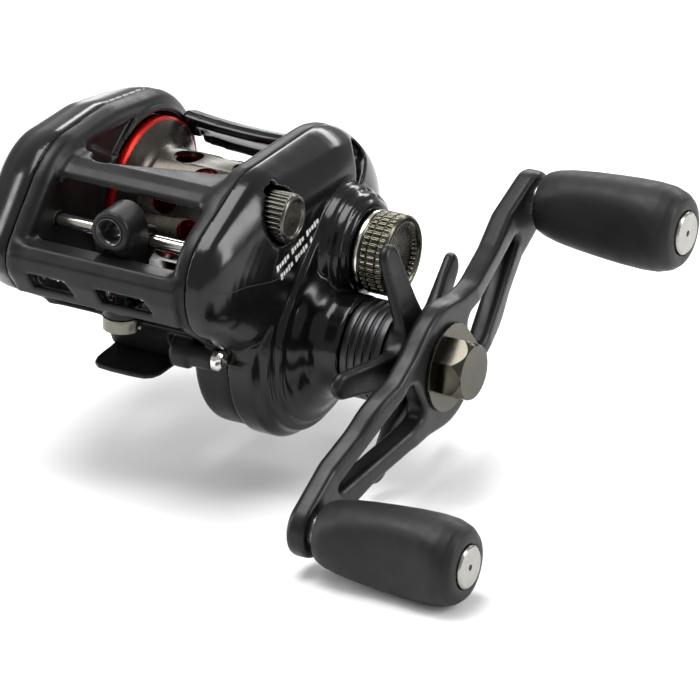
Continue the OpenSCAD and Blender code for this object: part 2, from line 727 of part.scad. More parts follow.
module drag_collar() color([0.18, 0.18, 0.18]) at([crank_y, crank_z]) {
    groove = 0.3;
    difference() {
        turned(concat(
            [[6.6, 34.7], [9, 34.7]],
            [for (i = [0:3]) for (p = [[9, 36], [9 - groove, 36.1], [9 - groove, 36.4], [9, 36.5]]) [p[0], p[1] + i * 1.5]],
            [[9, star_x], [6.6, star_x]]
        ));
    }
}

module drag_nut() color([0.78, 0.64, 0.35]) at([crank_y, crank_z]) difference() {
    hex_bar(39.6, 44.6, 9);
    rod(38, 46, 3 + run_fit);
}

// ---------- controls ----------

module cast_control_cap() color([0.4, 0.39, 0.35]) at([spool_y, spool_z]) turned([
    [6.2, 31.3], [7.2, 31.3], [7.3, 32.8], [7.5, 33.1], [7.5, 33.8], [7.1, 33.9], [7.1, 34.1], [7.5, 34.2],
    [7.5, 35.4], [7.1, 35.5], [7.1, 35.7], [7.5, 35.8], [7.5, 36.9], [7, 37.6], [6.2, 37.6], [5.6, 36.6],
    [0, 36.3], [0, 34.9], [6.2, 34.9]
]);

module cast_control_shim() color([0.8, 0.65, 0.35]) at([spool_y, spool_z]) rod(34.2, 34.9, 3);

module cover_thumbscrew() color([0.4, 0.39, 0.36]) at(thumbscrew_yz) {
    turned([[0, 20], [4.2, 20], [4.5, 20.6], [4.5, 25.2], [4.1, 25.8], [3.9, 26.8], [3.2, 27.2], [0, 27.2]]);
    rod(gear_wall_x + 0.8, 20.1, 1.2);
}

module brake_dial() color([0.14, 0.14, 0.15]) at([spool_y, spool_z]) difference() {
    turned([[0, -26.2], [4.9, -26.2], [4.9, -28.6], [4.4, -29.2], [0, -29.2]]);
    translate([-30, -0.6, -4]) cube([1.4, 1.2, 8]);
}

// Magnet plate on a sleeve that slides along the palm cover's boss
module brake_carrier() color([0.7, 0.7, 0.7]) at([spool_y, spool_z]) difference() {
    union() {
        rod(-19.6, -18.4, 9.6);
        rod(-24.5, -18.4, 7.2);
    }
    rod(-25, -18, 6.2 + run_fit);
}

module brake_magnets() color([0.8, 0.8, 0.82]) at([spool_y, spool_z]) {
    magnets = 6;
    for (i = [0:magnets - 1]) rotate([i * 360 / magnets, 0, 0]) translate([0, 8.1, 0]) rod(-18.4, -16.6, 1.4);
}

// ---------- level wind ----------

module idler_gear() color([0.88, 0.87, 0.82]) at([idler_y, idler_z]) difference() {
    slab(18, 19.6) rotate(idler_angle + 180 + 180 / idler_teeth) gear_outline(idler_teeth, wind_module);
    rod(17, 21, 1 + run_fit);
}

module worm_shaft() color([0.72, 0.7, 0.66]) at([worm_y, worm_z]) {
    rod(palm_x + 1.2, 20, 1.3);
    rod(palm_wall_x + 0.3, gear_wall_x - 0.3, 2);
}

// The idler's tooth nearest the worm gear sets the worm gear's phase
idler_phase = idler_angle + 180 + 180 / idler_teeth;
idler_offset = (worm_angle - idler_phase) * idler_teeth / 360;
idler_lag = (idler_offset - round(idler_offset)) * 360 / idler_teeth;
worm_phase = worm_angle + 180 + 180 / worm_teeth + idler_lag * idler_teeth / worm_teeth;

module worm_gear() color([0.88, 0.87, 0.82]) at([worm_y, worm_z]) difference() {
    slab(18, 19.6) rotate(worm_phase) gear_outline(worm_teeth, wind_module);
    rod(17, 21, 1.3);
}

// Guide block: eye on top, a foot that straddles the worm guard and rides the steady bar
eye_yz = [-30.4, 29.4];

module line_guide() color([0.12, 0.12, 0.13]) translate([guide_x, 0, 0]) difference() {
    union() {
        translate([0, -34.6, eye_yz[1]]) rotate([-90, 0, 0]) cylinder(h = 7, r = 3.7);
        slab(-3.3, 3.3) polygon([
            [-34.2, 29], [-34.2, 25], [-32.7, 25], [-32.7, 22.5], [-34.8, 22], [-34.9, 14], [-26.2, 14],
            [-26.2, 21.6], [-23.6, 22.6], [-23.4, 27], [-27.6, 29]
        ]);
        translate([0, worm_y, 12.2]) cylinder(h = 3, r = 3.4);
    }
    translate([0, -40, eye_yz[1]]) rotate([-90, 0, 0]) cylinder(h = 20, r = 2.6);
    at([worm_y, worm_z]) rod(-10, 10, 3.5);
    at(bar_yz) rod(-10, 10, 1.25 + run_fit);
    translate([0, worm_y, 10]) cylinder(h = 6, r = 2.1);
}

module guide_insert() color([0.16, 0.16, 0.17]) translate([guide_x, -34.8, eye_yz[1]]) rotate([-90, 0, 0])
    difference() {
        rotate_extrude() polygon([
            [eye_hole_r, 0.6], [eye_hole_r + 0.5, 0], [2.6, 0], [2.6, 7.4], [eye_hole_r + 0.5, 7.4], [eye_hole_r, 6.8]
        ]);
    }

// Pawl with its slotted cap under the guide
module guide_pawl() color([0.42, 0.41, 0.38]) translate([guide_x, worm_y, 0]) {
    difference() {
        translate([0, 0, 9.8]) cylinder(h = 2.4, r = 3.5);
        translate([-4, -0.5, 9]) cube([8, 1, 1.6]);
    }
    translate([0, 0, 12.1]) cylinder(h = 3.3, r = 2.1);
}

frame();
reel_foot();
foot_rivets();
gear_side_cover();
palm_side_cover();
cover_screws();
lug_screw();
palm_bearing();
spool_bearing();
pinion_bearing();
crank_bushing();
one_way_bearing();
guide_bar();
worm_guard();
worm_bushes();
idler_post();
spool();
spool_shaft();
spool_pin();
pinion();
clutch_yoke();
yoke_springs();
clutch_cam();
kick_lever();
thumb_bar();
main_gear();
wind_gear();
drive_shaft();
carbon_washers();
key_washers();
pressure_plate();
kick_ratchet();
clutch_sleeve();
spring_washers();
handle_arm();
handle_nut();
nut_lock_plate();
nut_lock_screw();
knob_spindles();
star_drag();
drag_collar();
drag_nut();
rear_knob();
front_knob();
rear_knob_cap();
front_knob_cap();
rear_knob_bushes();
front_knob_bushes();
cast_control_cap();
cast_control_shim();
cover_thumbscrew();
brake_dial();
brake_carrier();
brake_magnets();
idler_gear();
worm_shaft();
worm_gear();
line_guide();
guide_insert();
guide_pawl();
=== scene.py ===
import json
import math

import bpy
import numpy as np
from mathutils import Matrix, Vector
from mathutils.bvhtree import BVHTree


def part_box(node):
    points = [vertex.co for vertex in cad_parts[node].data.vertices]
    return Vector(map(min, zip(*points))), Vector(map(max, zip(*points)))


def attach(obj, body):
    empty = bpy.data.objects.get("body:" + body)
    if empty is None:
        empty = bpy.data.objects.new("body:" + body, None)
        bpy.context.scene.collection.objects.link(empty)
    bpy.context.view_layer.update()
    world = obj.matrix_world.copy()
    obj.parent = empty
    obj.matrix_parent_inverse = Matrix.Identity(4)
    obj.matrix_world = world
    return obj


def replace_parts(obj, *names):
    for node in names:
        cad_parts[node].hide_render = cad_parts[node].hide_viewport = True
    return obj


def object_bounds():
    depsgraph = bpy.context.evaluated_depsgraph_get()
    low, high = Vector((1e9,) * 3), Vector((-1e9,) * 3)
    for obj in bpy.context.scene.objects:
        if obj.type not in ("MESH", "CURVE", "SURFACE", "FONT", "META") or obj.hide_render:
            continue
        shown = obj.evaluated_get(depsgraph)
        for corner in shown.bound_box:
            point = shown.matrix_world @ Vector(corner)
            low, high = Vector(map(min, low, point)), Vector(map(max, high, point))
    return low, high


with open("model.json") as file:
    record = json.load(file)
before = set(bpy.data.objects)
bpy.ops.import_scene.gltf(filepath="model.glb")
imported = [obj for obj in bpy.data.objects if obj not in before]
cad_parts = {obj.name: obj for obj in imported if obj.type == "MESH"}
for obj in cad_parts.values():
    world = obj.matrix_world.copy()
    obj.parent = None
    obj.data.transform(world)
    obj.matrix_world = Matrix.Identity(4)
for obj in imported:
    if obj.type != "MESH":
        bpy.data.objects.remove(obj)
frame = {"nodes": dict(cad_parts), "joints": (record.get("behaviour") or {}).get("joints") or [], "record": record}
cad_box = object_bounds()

# Shapes are worked out in millimetres, in the CAD frame: X along the spool axis towards the crank,
# -Y the side the line leaves, +Z away from the rod. Meshes are made in metres.
MM = 0.001

joints = {joint["name"]: joint for joint in frame["joints"]}


def axis_of(name):
    """The [y, z] of a joint's axis in millimetres."""
    return tuple(value / MM for value in joints[name]["pos_m"][1:])


SPOOL = axis_of("spool_spin")
CRANK = axis_of("crank_spin")
WORM = axis_of("worm_spin")
IDLER = axis_of("idler_spin")
THUMBSCREW = axis_of("thumbscrew_turn")
REAR_KNOB = axis_of("rear_knob_spin")
FRONT_KNOB = axis_of("front_knob_spin")
HANDLE_TILT = math.atan2(REAR_KNOB[1] - CRANK[1], REAR_KNOB[0] - CRANK[0])
KNOB_ARM = math.hypot(REAR_KNOB[0] - CRANK[0], REAR_KNOB[1] - CRANK[1])

# Stations along X
SEAM = 17.75        # where each side cover meets the frame
WALL = 3.0          # the frame's side walls
INNER = SEAM - WALL
RIM = 22.1          # end of the gear housing's barrel
CRANK_BOSS = 34.3   # end of the boss that the crank comes out of
ARM = 47.5          # inner and outer faces of the handle at the crank
ARM_FACE = 51.5
GUIDE = 1.0         # the line guide at rest

# Radii about the spool and the crank
SPOOL_OPENING = 15.7
CUP = 18.2
CUP_INSIDE = 16.6
HOUSING = 18.9

# Foot plate
FOOT_HALF_LENGTH = 30
FOOT_HALF_WIDTH = 6.6
FOOT_TOP = 1.7

# Outlines, as (y, z, radius) circles with a skin stretched round them
PALM_OUTLINE = [(*SPOOL, 19.6), (-6, 20.9, 18.1), (-18, 23, 15.8), (-33.3, 21.5, 5.6), (-31.6, 18.4, 5)]
GEAR_OUTLINE = [(*SPOOL, 20), (-14, 20.6, 17.2), (-26.5, 21.5, 11), (-24.6, 11.6, 4.2)]
STEADY_BAR = (-25.6, 25)
EYE = (-30.4, 29.4)
LUG = (-25, 5)
COVER_SCREWS = [(13.1, 31.2), (18.3, 9.5)]
PIN_SLOT = [(18.7, 26.9, 1.2), (21.1, 23.7, 1.2)]


# ---------- solid shapes from signed distances ----------

class Space:
    """Grid points at which a shape's signed distance is sampled."""

    def __init__(self, low, high, cell):
        self.low = np.array(low, float)
        self.cell = cell
        counts = np.ceil((np.array(high) - self.low) / cell).astype(int) + 1
        lines = [self.low[i] + cell * np.arange(counts[i]) for i in range(3)]
        self.x = lines[0][:, None, None]
        self.y = lines[1][None, :, None]
        self.z = lines[2][None, None, :]

    def radius(self, centre):
        """Distance from the axis along X through centre."""
        return np.hypot(self.y - centre[0], self.z - centre[1])


def join(a, b, r=0.05):
    """Union of two shapes, with a fillet that grows with r."""
    h = np.clip(0.5 + 0.5 * (b - a) / r, 0, 1)
    return b * (1 - h) + a * h - r * h * (1 - h)


def meet(a, b, r=0.05):
    """What two shapes share, with its edge rounded by r."""
    return -join(-a, -b, r)


def cut(a, b, r=0.05):
    """The first shape without the second, with the edge rounded by r."""
    return meet(a, -b, r)


def outline(a, b, points):
    """Signed distance from (a, b) to a closed outline."""
    shape = np.broadcast(a, b).shape
    nearest = np.full(shape, 1e9)
    inside = np.zeros(shape, bool)
    for (a0, b0), (a1, b1) in zip(points, [*points[1:], points[0]]):
        da, db = a1 - a0, b1 - b0
        along = np.clip(((a - a0) * da + (b - b0) * db) / (da * da + db * db), 0, 1)
        nearest = np.minimum(nearest, (a - a0 - along * da) ** 2 + (b - b0 - along * db) ** 2)
        if db != 0:
            inside ^= ((b0 > b) != (b1 > b)) & (a < a0 + (b - b0) * da / db)
    return np.where(inside, -1, 1) * np.sqrt(nearest)


def skin(a, b, circles, inset=0.0):
    """Signed distance to the skin stretched round (a, b, radius) circles."""
    angles = np.linspace(0, 2 * math.pi, 72, endpoint=False)
    cloud = [(ca + (r - inset) * math.cos(t), cb + (r - inset) * math.sin(t))
             for ca, cb, r in circles for t in angles]
    cloud = sorted(set(cloud))
    loops = []
    for run in (cloud, cloud[::-1]):
        chain = []
        for p in run:
            while len(chain) > 1 and turn(chain[-2], chain[-1], p) <= 0:
                chain.pop()
            chain.append(p)
        loops += chain[:-1]
    return outline(a, b, loops)


def turn(p, q, r):
    """Positive where the path p, q, r turns left."""
    return (q[0] - p[0]) * (r[1] - p[1]) - (q[1] - p[1]) * (r[0] - p[0])


def between(value, low, high):
    """Slab from low to high."""
    return np.maximum(low - value, value - high)


def rod(space, centre, x0, x1, radius, edge=0.05):
    """Cylinder along X."""
    return meet(space.radius(centre) - radius, between(space.x, x0, x1), edge)


def turned(space, centre, profile):
    """Solid of revolution about the X axis through centre, from (radius, x) points."""
    margin, step = 12, 0.1
    radii = np.arange(0, max(r for r, x in profile) + margin, step)
    mirrored = [*profile, *[(-r, x) for r, x in reversed(profile) if r > 0]]
    table = outline(radii[:, None], space.x[:, 0, 0][None, :], mirrored)
    spread = space.radius(centre)[0]
    return np.stack([np.interp(spread, radii, column) for column in table.T])


def loft(space, stations):
    """Smooth blend of outlines placed along X, from (x, signed distance of the outline)."""
    places = np.array([x for x, field in stations])
    fields = np.stack([field[0] for x, field in stations])
    slopes = np.gradient(fields, places, axis=0)
    x = np.clip(space.x[:, 0, 0], places[0], places[-1])
    i = np.clip(np.searchsorted(places, x) - 1, 0, len(places) - 2)
    gap = (places[i + 1] - places[i])[:, None, None]
    t = (x - places[i])[:, None, None] / gap
    start = (2 * t ** 3 - 3 * t ** 2 + 1) * fields[i] + (t ** 3 - 2 * t ** 2 + t) * gap * slopes[i]
    end = (3 * t ** 2 - 2 * t ** 3) * fields[i + 1] + (t ** 3 - t ** 2) * gap * slopes[i + 1]
    return start + end


def surface(space, field):
    """Vertices and quads on a field's zero level: one vertex in each cell that the level passes through."""
    shape = np.array(field.shape) - 1
    strides = np.array([shape[1] * shape[2], shape[2], 1])
    total = np.prod(shape)
    sums = np.zeros((3, total))
    counts = np.zeros(total)
    rings = []
    for axis in range(3):
        lower = np.take(field, range(shape[axis]), axis=axis)
        upper = np.take(field, range(1, shape[axis] + 1), axis=axis)
        index = np.argwhere((lower < 0) != (upper < 0))
        start = lower[tuple(index.T)]
        spot = index.astype(float)
        spot[:, axis] += start / (start - upper[tuple(index.T)])
        b, c = (axis + 1) % 3, (axis + 2) % 3
        corners = []
        whole = np.ones(len(index), bool)
        for back_b, back_c in ((0, 0), (1, 0), (1, 1), (0, 1)):
            cell = index.copy()
            cell[:, b] -= back_b
            cell[:, c] -= back_c
            fits = np.all((cell >= 0) & (cell < shape), axis=1)
            whole &= fits
            flat = np.where(fits, cell @ strides, 0)
            for k in range(3):
                sums[k] += np.bincount(flat[fits], weights=spot[fits, k], minlength=total)
            counts += np.bincount(flat[fits], minlength=total)
            corners.append(flat)
        ring = np.stack(corners, axis=1)
        ring[start >= 0] = ring[start >= 0][:, ::-1]
        rings.append(ring[whole])
    used = np.flatnonzero(counts)
    number = np.full(total, -1)
    number[used] = np.arange(len(used))
    points = (sums[:, used] / counts[used]).T * space.cell + space.low
    return points, number[np.concatenate(rings)]


def mesh_piece(name, points, faces, body, material, smooth=True):
    """A piece from points in millimetres, riding on a body."""
    mesh = bpy.data.meshes.new(name)
    mesh.from_pydata((np.asarray(points) * MM).tolist(), [], [list(map(int, f)) for f in faces])
    mesh.update()
    mesh.polygons.foreach_set("use_smooth", [smooth] * len(mesh.polygons))
    piece = bpy.data.objects.new(name, mesh)
    bpy.context.scene.collection.objects.link(piece)
    mesh.materials.append(material)
    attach(piece, body)
    return piece


def solid_piece(name, space, field, body, material, relax=3):
    """A piece from a signed distance field; relax evens out the grid's steps."""
    points, faces = surface(space, field)
    piece = mesh_piece(name, points, faces, body, material)
    if relax:
        evened = piece.modifiers.new("evened", "SMOOTH")
        evened.factor = 0.5
        evened.iterations = relax
    return piece


# ---------- materials ----------

class Nodes:
    """Short way to build one material's node tree."""

    def __init__(self, name):
        self.material = bpy.data.materials.new(name)
        self.material.use_nodes = True
        self.tree = self.material.node_tree
        self.shader = self.tree.nodes["Principled BSDF"]

    def add(self, kind, inputs=None, **settings):
        """A node with its settings, and its sockets set or linked."""
        node = self.tree.nodes.new(kind)
        for key, value in settings.items():
            setattr(node, key, value)
        for key, value in (inputs or {}).items():
            if isinstance(value, bpy.types.NodeSocket):
                self.tree.links.new(value, node.inputs[key])
            else:
                node.inputs[key].default_value = value
        return node

    def place(self):
        return self.add("ShaderNodeTexCoord").outputs["Object"]

    def noise(self, where, per_mm, detail=3.0, rough=0.55):
        """Noise with about per_mm features in a millimetre."""
        node = self.add("ShaderNodeTexNoise", {"Vector": where, "Scale": per_mm / MM, "Detail": detail,
                                               "Roughness": rough})
        return node.outputs["Fac"]

    def span(self, value, low, high, start=0.3, end=0.7):
        """Maps start..end to low..high."""
        node = self.add("ShaderNodeMapRange", {"Value": value, "From Min": start, "From Max": end,
                                               "To Min": low, "To Max": high})
        return node.outputs["Result"]

    def mix(self, amount, first, second):
        node = self.add("ShaderNodeMix", {0: amount}, data_type="RGBA")
        for socket, colour in ((6, first), (7, second)):
            if isinstance(colour, bpy.types.NodeSocket):
                self.tree.links.new(colour, node.inputs[socket])
            else:
                node.inputs[socket].default_value = (*colour, 1)
        return node.outputs[2]

    def math(self, operation, first, second=0.0):
        return self.add("ShaderNodeMath", {0: first, 1: second}, operation=operation).outputs[0]

    def from_axis(self, centre):
        """Radius from the X axis through centre, in metres, and the X coordinate."""
        split = self.add("ShaderNodeSeparateXYZ", {0: self.place()})
        y = self.math("SUBTRACT", split.outputs["Y"], centre[0] * MM)
        z = self.math("SUBTRACT", split.outputs["Z"], centre[1] * MM)
        square = self.math("ADD", self.math("MULTIPLY", y, y), self.math("MULTIPLY", z, z))
        return self.math("SQRT", square), split.outputs["X"]

    def lathe_lines(self, centre, per_mm):
        """Noise that is the same all round the axis: the fine marks of turning."""
        radius, x = self.from_axis(centre)
        where = self.add("ShaderNodeCombineXYZ", {"X": radius, "Y": x}).outputs[0]
        return self.noise(where, per_mm, detail=2.0)

    def finish(self, colour, roughness, height=None, depth_mm=0.01, metallic=0.0, specular=0.5):
        """Sets the shader's sockets, with a bump where a height is given."""
        sockets = self.shader.inputs
        for key, value in (("Base Color", colour), ("Roughness", roughness)):
            if isinstance(value, bpy.types.NodeSocket):
                self.tree.links.new(value, sockets[key])
            else:
                sockets[key].default_value = (*value, 1) if key == "Base Color" else value
        sockets["Metallic"].default_value = metallic
        sockets["Specular IOR Level"].default_value = specular
        if height is not None:
            bump = self.add("ShaderNodeBump", {"Height": height, "Strength": 1.0, "Distance": depth_mm * MM})
            self.tree.links.new(bump.outputs[0], sockets["Normal"])
        return self.material


def scaled(colour, factor):
    return tuple(c * factor for c in colour)


def coated(name, colour, rough, grain=3.0, depth_mm=0.006, edge_highlight=0.0, specular=0.5):
    """Moulded or painted surface: slight mottle, uneven gloss, fine grain, and a painted highlight that lightens
    convex edges in patches.
    """
    nodes = Nodes(name)
    where = nodes.place()
    mottle = nodes.noise(where, 0.16, detail=4.0)
    tone = nodes.mix(nodes.span(mottle, 0, 1), scaled(colour, 0.75), scaled(colour, 1.35))
    # Painted highlight: convex edges, found by pointiness, are lightened in noisy patches towards five times the
    # base colour.
    if edge_highlight:
        edge = nodes.add("ShaderNodeNewGeometry").outputs["Pointiness"]
        painted_highlight = nodes.math("MULTIPLY", nodes.span(edge, 0, edge_highlight, 0.52, 0.6), nodes.noise(where, 0.9))
        tone = nodes.mix(painted_highlight, tone, scaled(colour, 5.0))
    gloss = nodes.span(nodes.noise(where, 0.35, detail=5.0), rough * 0.85, rough * 1.2)
    return nodes.finish(tone, gloss, nodes.noise(where, grain), depth_mm, specular=specular)


def metal(name, colour, rough, centre=None, lines=2.5, depth_mm=0.0012, stain=0.85):
    """Bare or plated metal; with a centre, it shows the marks of turning."""
    nodes = Nodes(name)
    where = nodes.place()
    mottle = nodes.noise(where, 0.4, detail=4.0)
    tone = nodes.mix(nodes.span(mottle, 0, 1), scaled(colour, stain), colour)
    gloss = nodes.span(nodes.noise(where, 0.6, detail=4.0), rough * 0.85, rough * 1.2)
    height = nodes.lathe_lines(centre, lines) if centre else nodes.noise(where, lines)
    return nodes.finish(tone, gloss, height, depth_mm, metallic=1.0)


def spool_finish():
    """Gunmetal spool with red anodised flange edges and a red inside that shows through its ports."""
    nodes = Nodes("spool_finish")
    radius, x = nodes.from_axis(SPOOL)
    rim = nodes.span(radius, 0, 1, 14.65 * MM, 14.7 * MM)
    inside = nodes.span(radius, 1, 0, 9.3 * MM, 9.4 * MM)
    red = nodes.math("MAXIMUM", rim, inside)
    where = nodes.place()
    steel = nodes.mix(nodes.noise(where, 0.2), (0.05, 0.044, 0.036), (0.06, 0.053, 0.044))
    tone = nodes.mix(red, steel, (0.62, 0.02, 0.015))
    gloss = nodes.span(nodes.noise(where, 1.0), 0.25, 0.31)
    return nodes.finish(tone, gloss, nodes.lathe_lines(SPOOL, 3.0), 0.0008, metallic=0.9)


def carbon_weave():
    """Woven carbon washers."""
    nodes = Nodes("carbon_weave")
    check = nodes.add("ShaderNodeTexChecker", {"Vector": nodes.place(), "Scale": 1.2 / MM}).outputs["Fac"]
    tone = nodes.mix(check, (0.008, 0.008, 0.009), (0.03, 0.03, 0.032))
    return nodes.finish(tone, nodes.span(check, 0.3, 0.5, 0, 1), check, 0.02)


satin_black = coated("satin_black", (0.0055, 0.0055, 0.006), 0.36, grain=2.2, depth_mm=0.005, edge_highlight=0.2,
                     specular=0.22)
gloss_black = coated("gloss_black", (0.004, 0.004, 0.0044), 0.17, grain=0.5, depth_mm=0.002, edge_highlight=0.1,
                     specular=0.3)
foot_black = coated("foot_black", (0.006, 0.006, 0.0065), 0.34, grain=1.8, edge_highlight=0.25, specular=0.24)
handle_black = coated("handle_black", (0.006, 0.006, 0.0065), 0.34, grain=2.0, depth_mm=0.005, edge_highlight=0.25,
                      specular=0.24)
soft_touch = coated("soft_touch", (0.008, 0.008, 0.0085), 0.48, grain=3.5, depth_mm=0.01, edge_highlight=0.08,
                    specular=0.24)
guide_black = coated("guide_black", (0.005, 0.005, 0.0055), 0.4, grain=2.6, edge_highlight=0.1, specular=0.24)
dark_hard = coated("dark_hard", (0.02, 0.02, 0.022), 0.16, grain=1.0, depth_mm=0.002)
white_nylon = coated("white_nylon", (0.62, 0.6, 0.54), 0.45, grain=1.6, depth_mm=0.01)
print_white = coated("print_white", (0.62, 0.62, 0.6), 0.5, grain=6.0, depth_mm=0.01)
seam_dark = coated("seam_dark", (0.002, 0.002, 0.002), 0.6)
gunmetal_cap = metal("gunmetal_cap", (0.1, 0.095, 0.073), 0.24, SPOOL)
gunmetal_screw = metal("gunmetal_screw", (0.105, 0.1, 0.085), 0.26, THUMBSCREW)
gunmetal_nut = metal("gunmetal_nut", (0.085, 0.079, 0.063), 0.2, CRANK)
gunmetal_pawl = metal("gunmetal_pawl", (0.16, 0.152, 0.13), 0.28)
collar_black = metal("collar_black", (0.05, 0.05, 0.052), 0.34, CRANK)
nickel = metal("nickel", (0.72, 0.7, 0.65), 0.16)
bar_steel = metal("bar_steel", (0.66, 0.64, 0.6), 0.17, WORM)
bearing_steel = metal("bearing_steel", (0.6, 0.6, 0.6), 0.2, SPOOL)
crank_steel = metal("crank_steel", (0.55, 0.54, 0.52), 0.25, CRANK)
spring_steel = metal("spring_steel", (0.45, 0.45, 0.46), 0.28)
brass = metal("brass", (0.72, 0.5, 0.2), 0.24, CRANK)
rear_cap_metal = metal("rear_cap_metal", (0.34, 0.33, 0.31), 0.26, REAR_KNOB)
front_cap_metal = metal("front_cap_metal", (0.34, 0.33, 0.31), 0.26, FRONT_KNOB)
magnet_plate = metal("magnet_plate", (0.7, 0.7, 0.72), 0.18, SPOOL)
carbon = carbon_weave()
spool_metal = spool_finish()

SLOT_FINISH = {
    "satin_black": satin_black, "gloss_black": gloss_black, "foot_metal": foot_black, "nickel": nickel,
    "bearing_steel": bearing_steel, "bar_steel": bar_steel, "gunmetal": gunmetal_nut,
    "spool_metal": spool_metal, "gear_brass": brass, "white_plastic": white_nylon, "carbon": carbon,
    "spring_steel": spring_steel, "handle_metal": handle_black, "knob_rubber": soft_touch,
    "knob_cap_metal": rear_cap_metal, "black_plastic": guide_black, "ceramic": dark_hard,
    "magnet": magnet_plate,
}
NODE_FINISH = {
    "drag_collar": collar_black, "guide_pawl": gunmetal_pawl, "front_knob_cap": front_cap_metal,
    "drive_shaft": crank_steel, "knob_spindles": crank_steel, "key_washers": crank_steel,
    "pressure_plate": crank_steel, "kick_ratchet": crank_steel, "clutch_sleeve": crank_steel,
    "brake_dial": satin_black,
}
SOFT_EDGES = {
    "spool": 0.15, "handle_nut": 0.25, "nut_lock_plate": 0.15, "nut_lock_screw": 0.1, "drag_collar": 0.1,
    "lug_screw": 0.12, "cover_screws": 0.12, "brake_dial": 0.25, "rear_knob_cap": 0.12,
    "front_knob_cap": 0.12, "guide_pawl": 0.2, "worm_guard": 0.12, "guide_insert": 0.15,
    "thumb_bar": 0.4, "spool_shaft": 0.2, "foot_rivets": 0.1,
}


def dress_cad_nodes():
    """Gives every CAD node its finish, and a small bevel where its edges show."""
    for part in frame["record"]["subparts"]:
        name = part["node"]
        node = frame["nodes"][name]
        finish = NODE_FINISH.get(name, SLOT_FINISH[part["material_slot"]])
        for i in range(len(node.material_slots)):
            node.material_slots[i].material = finish
        if name in SOFT_EDGES:
            weld = node.modifiers.new("weld", "WELD")
            weld.merge_threshold = 0.002 * MM
            bevel = node.modifiers.new("soft edge", "BEVEL")
            bevel.width = SOFT_EDGES[name] * MM
            bevel.segments = 2
            bevel.limit_method = "ANGLE"
            bevel.angle_limit = math.radians(35)


# ---------- frame ----------

def side_prism(space, points, x0, x1, edge):
    """A [y, z] outline carried from x0 to x1."""
    return meet(outline(space.y, space.z, points), between(space.x, x0, x1), edge)


def front_slot(space, x0, x1):
    """Slot with slanted ends through the front band."""
    shape = [(x0 + 0.8, 17.2), (x1, 17.2), (x1 - 1.4, 19.8), (x0, 19.8)]
    return meet(outline(space.x, space.z, shape), between(space.y, -42, -30), 0.3)


def frame_walls(space, palm, gear):
    """The two side walls and the cup behind the gear housing."""
    palm_wall = meet(meet(palm, space.x + INNER, 3.2), -SEAM - space.x, 0.2)
    gear_wall = meet(meet(gear, INNER - space.x, 1.6), space.x - SEAM, 0.2)
    cup = rod(space, CRANK, 10, SEAM, CUP, 2.0)
    return join(palm_wall, join(gear_wall, cup, 1.5), 0.1)


def roof_bar(space):
    """Bar over the front of the spool; its rear edge slants, and sweeps round into both walls."""
    roof = side_prism(space, [
        (-25.4, 33.1), (-24.9, 34.1), (-23.2, 35.0), (-21, 35.6), (-17, 35.4), (-8, 34.3),
        (-8, 33.2), (-17, 34.1), (-20.8, 34.3), (-22.8, 33.7), (-24.3, 32.5)], -16.6, 16.6, 0.4)
    corner = np.clip(np.abs(space.x - 1) - 8.6, 0, 5)
    rear_edge = -21.2 + 0.33 * np.clip(space.x + 10, 0, 22) + 5.1 - np.sqrt(26.01 - corner ** 2)
    return meet(roof, space.y - rear_edge, 0.5)


def front_band(space):
    """Band across the front, below the line guide."""
    return side_prism(space, [
        (-33, 24.4), (-37.4, 24.6), (-39, 22.8), (-38.6, 19.5), (-37, 15.4),
        (-35.4, 15.2), (-36.8, 19.3), (-37, 22.2), (-33, 22.9)], -16.6, 16.6, 0.4)


def join_floor(space, shell):
    """Adds the deck behind the band, the curved wall under the spool, and the foot's two seats."""
    deck = side_prism(space, [(-26.7, 9.1), (-25.8, 10.5), (-12, 5.4), (-12, 3)], -16.6, 16.6, 0.4)
    shell = join(shell, deck, 1.5)
    around = np.degrees(np.arctan2(space.z - SPOOL[1], space.y - SPOOL[0]))
    arc = meet(between(space.radius(SPOOL), 16, 17.6), between(around, -72, -8) * 0.3, 0.3)
    shell = join(shell, meet(arc, between(space.x, -16, 16)), 1.2)
    half = 6.5
    for seat in ([(-25, 8.6), (-22, FOOT_TOP), (-5, FOOT_TOP), (-3, 5), (-10, 9), (-20, 11)],
                 [(12, 5), (14, FOOT_TOP), (22, FOOT_TOP), (25, 9), (20, 12)]):
        shell = join(shell, side_prism(space, seat, -half, half, 0.8), 1.5)
    return shell


def frame_envelope(space, palm, gear):
    """Keeps the blends between bars and walls inside the frame's outline."""
    walls = np.minimum(np.minimum(palm, gear), space.radius(CRANK) - CUP)
    return np.minimum(outline(space.y, space.z, [
        (-39, 14), (-39.1, 23), (-37.5, 24.7), (-33, 25), (-27, 32), (-24.8, 34.6), (-21.5, 36.1), (-12, 38),
        (20, 38), (26, 20), (24, FOOT_TOP), (-30, FOOT_TOP)]), walls)


def screw_lug(space):
    """Lug under the gear side, with the root that carries it."""
    lug = join(rod(space, LUG, 8.6, 12.1, 2.9, 0.5), rod(space, LUG, 12.1, 16.7, 2.3, 0.4), 0.1)
    root = side_prism(space, [(-27, 5), (-25, 9.8), (-19, 7.4), (-22, 3)], 8.6, 12.1, 0.6)
    return join(lug, root, 0.8)


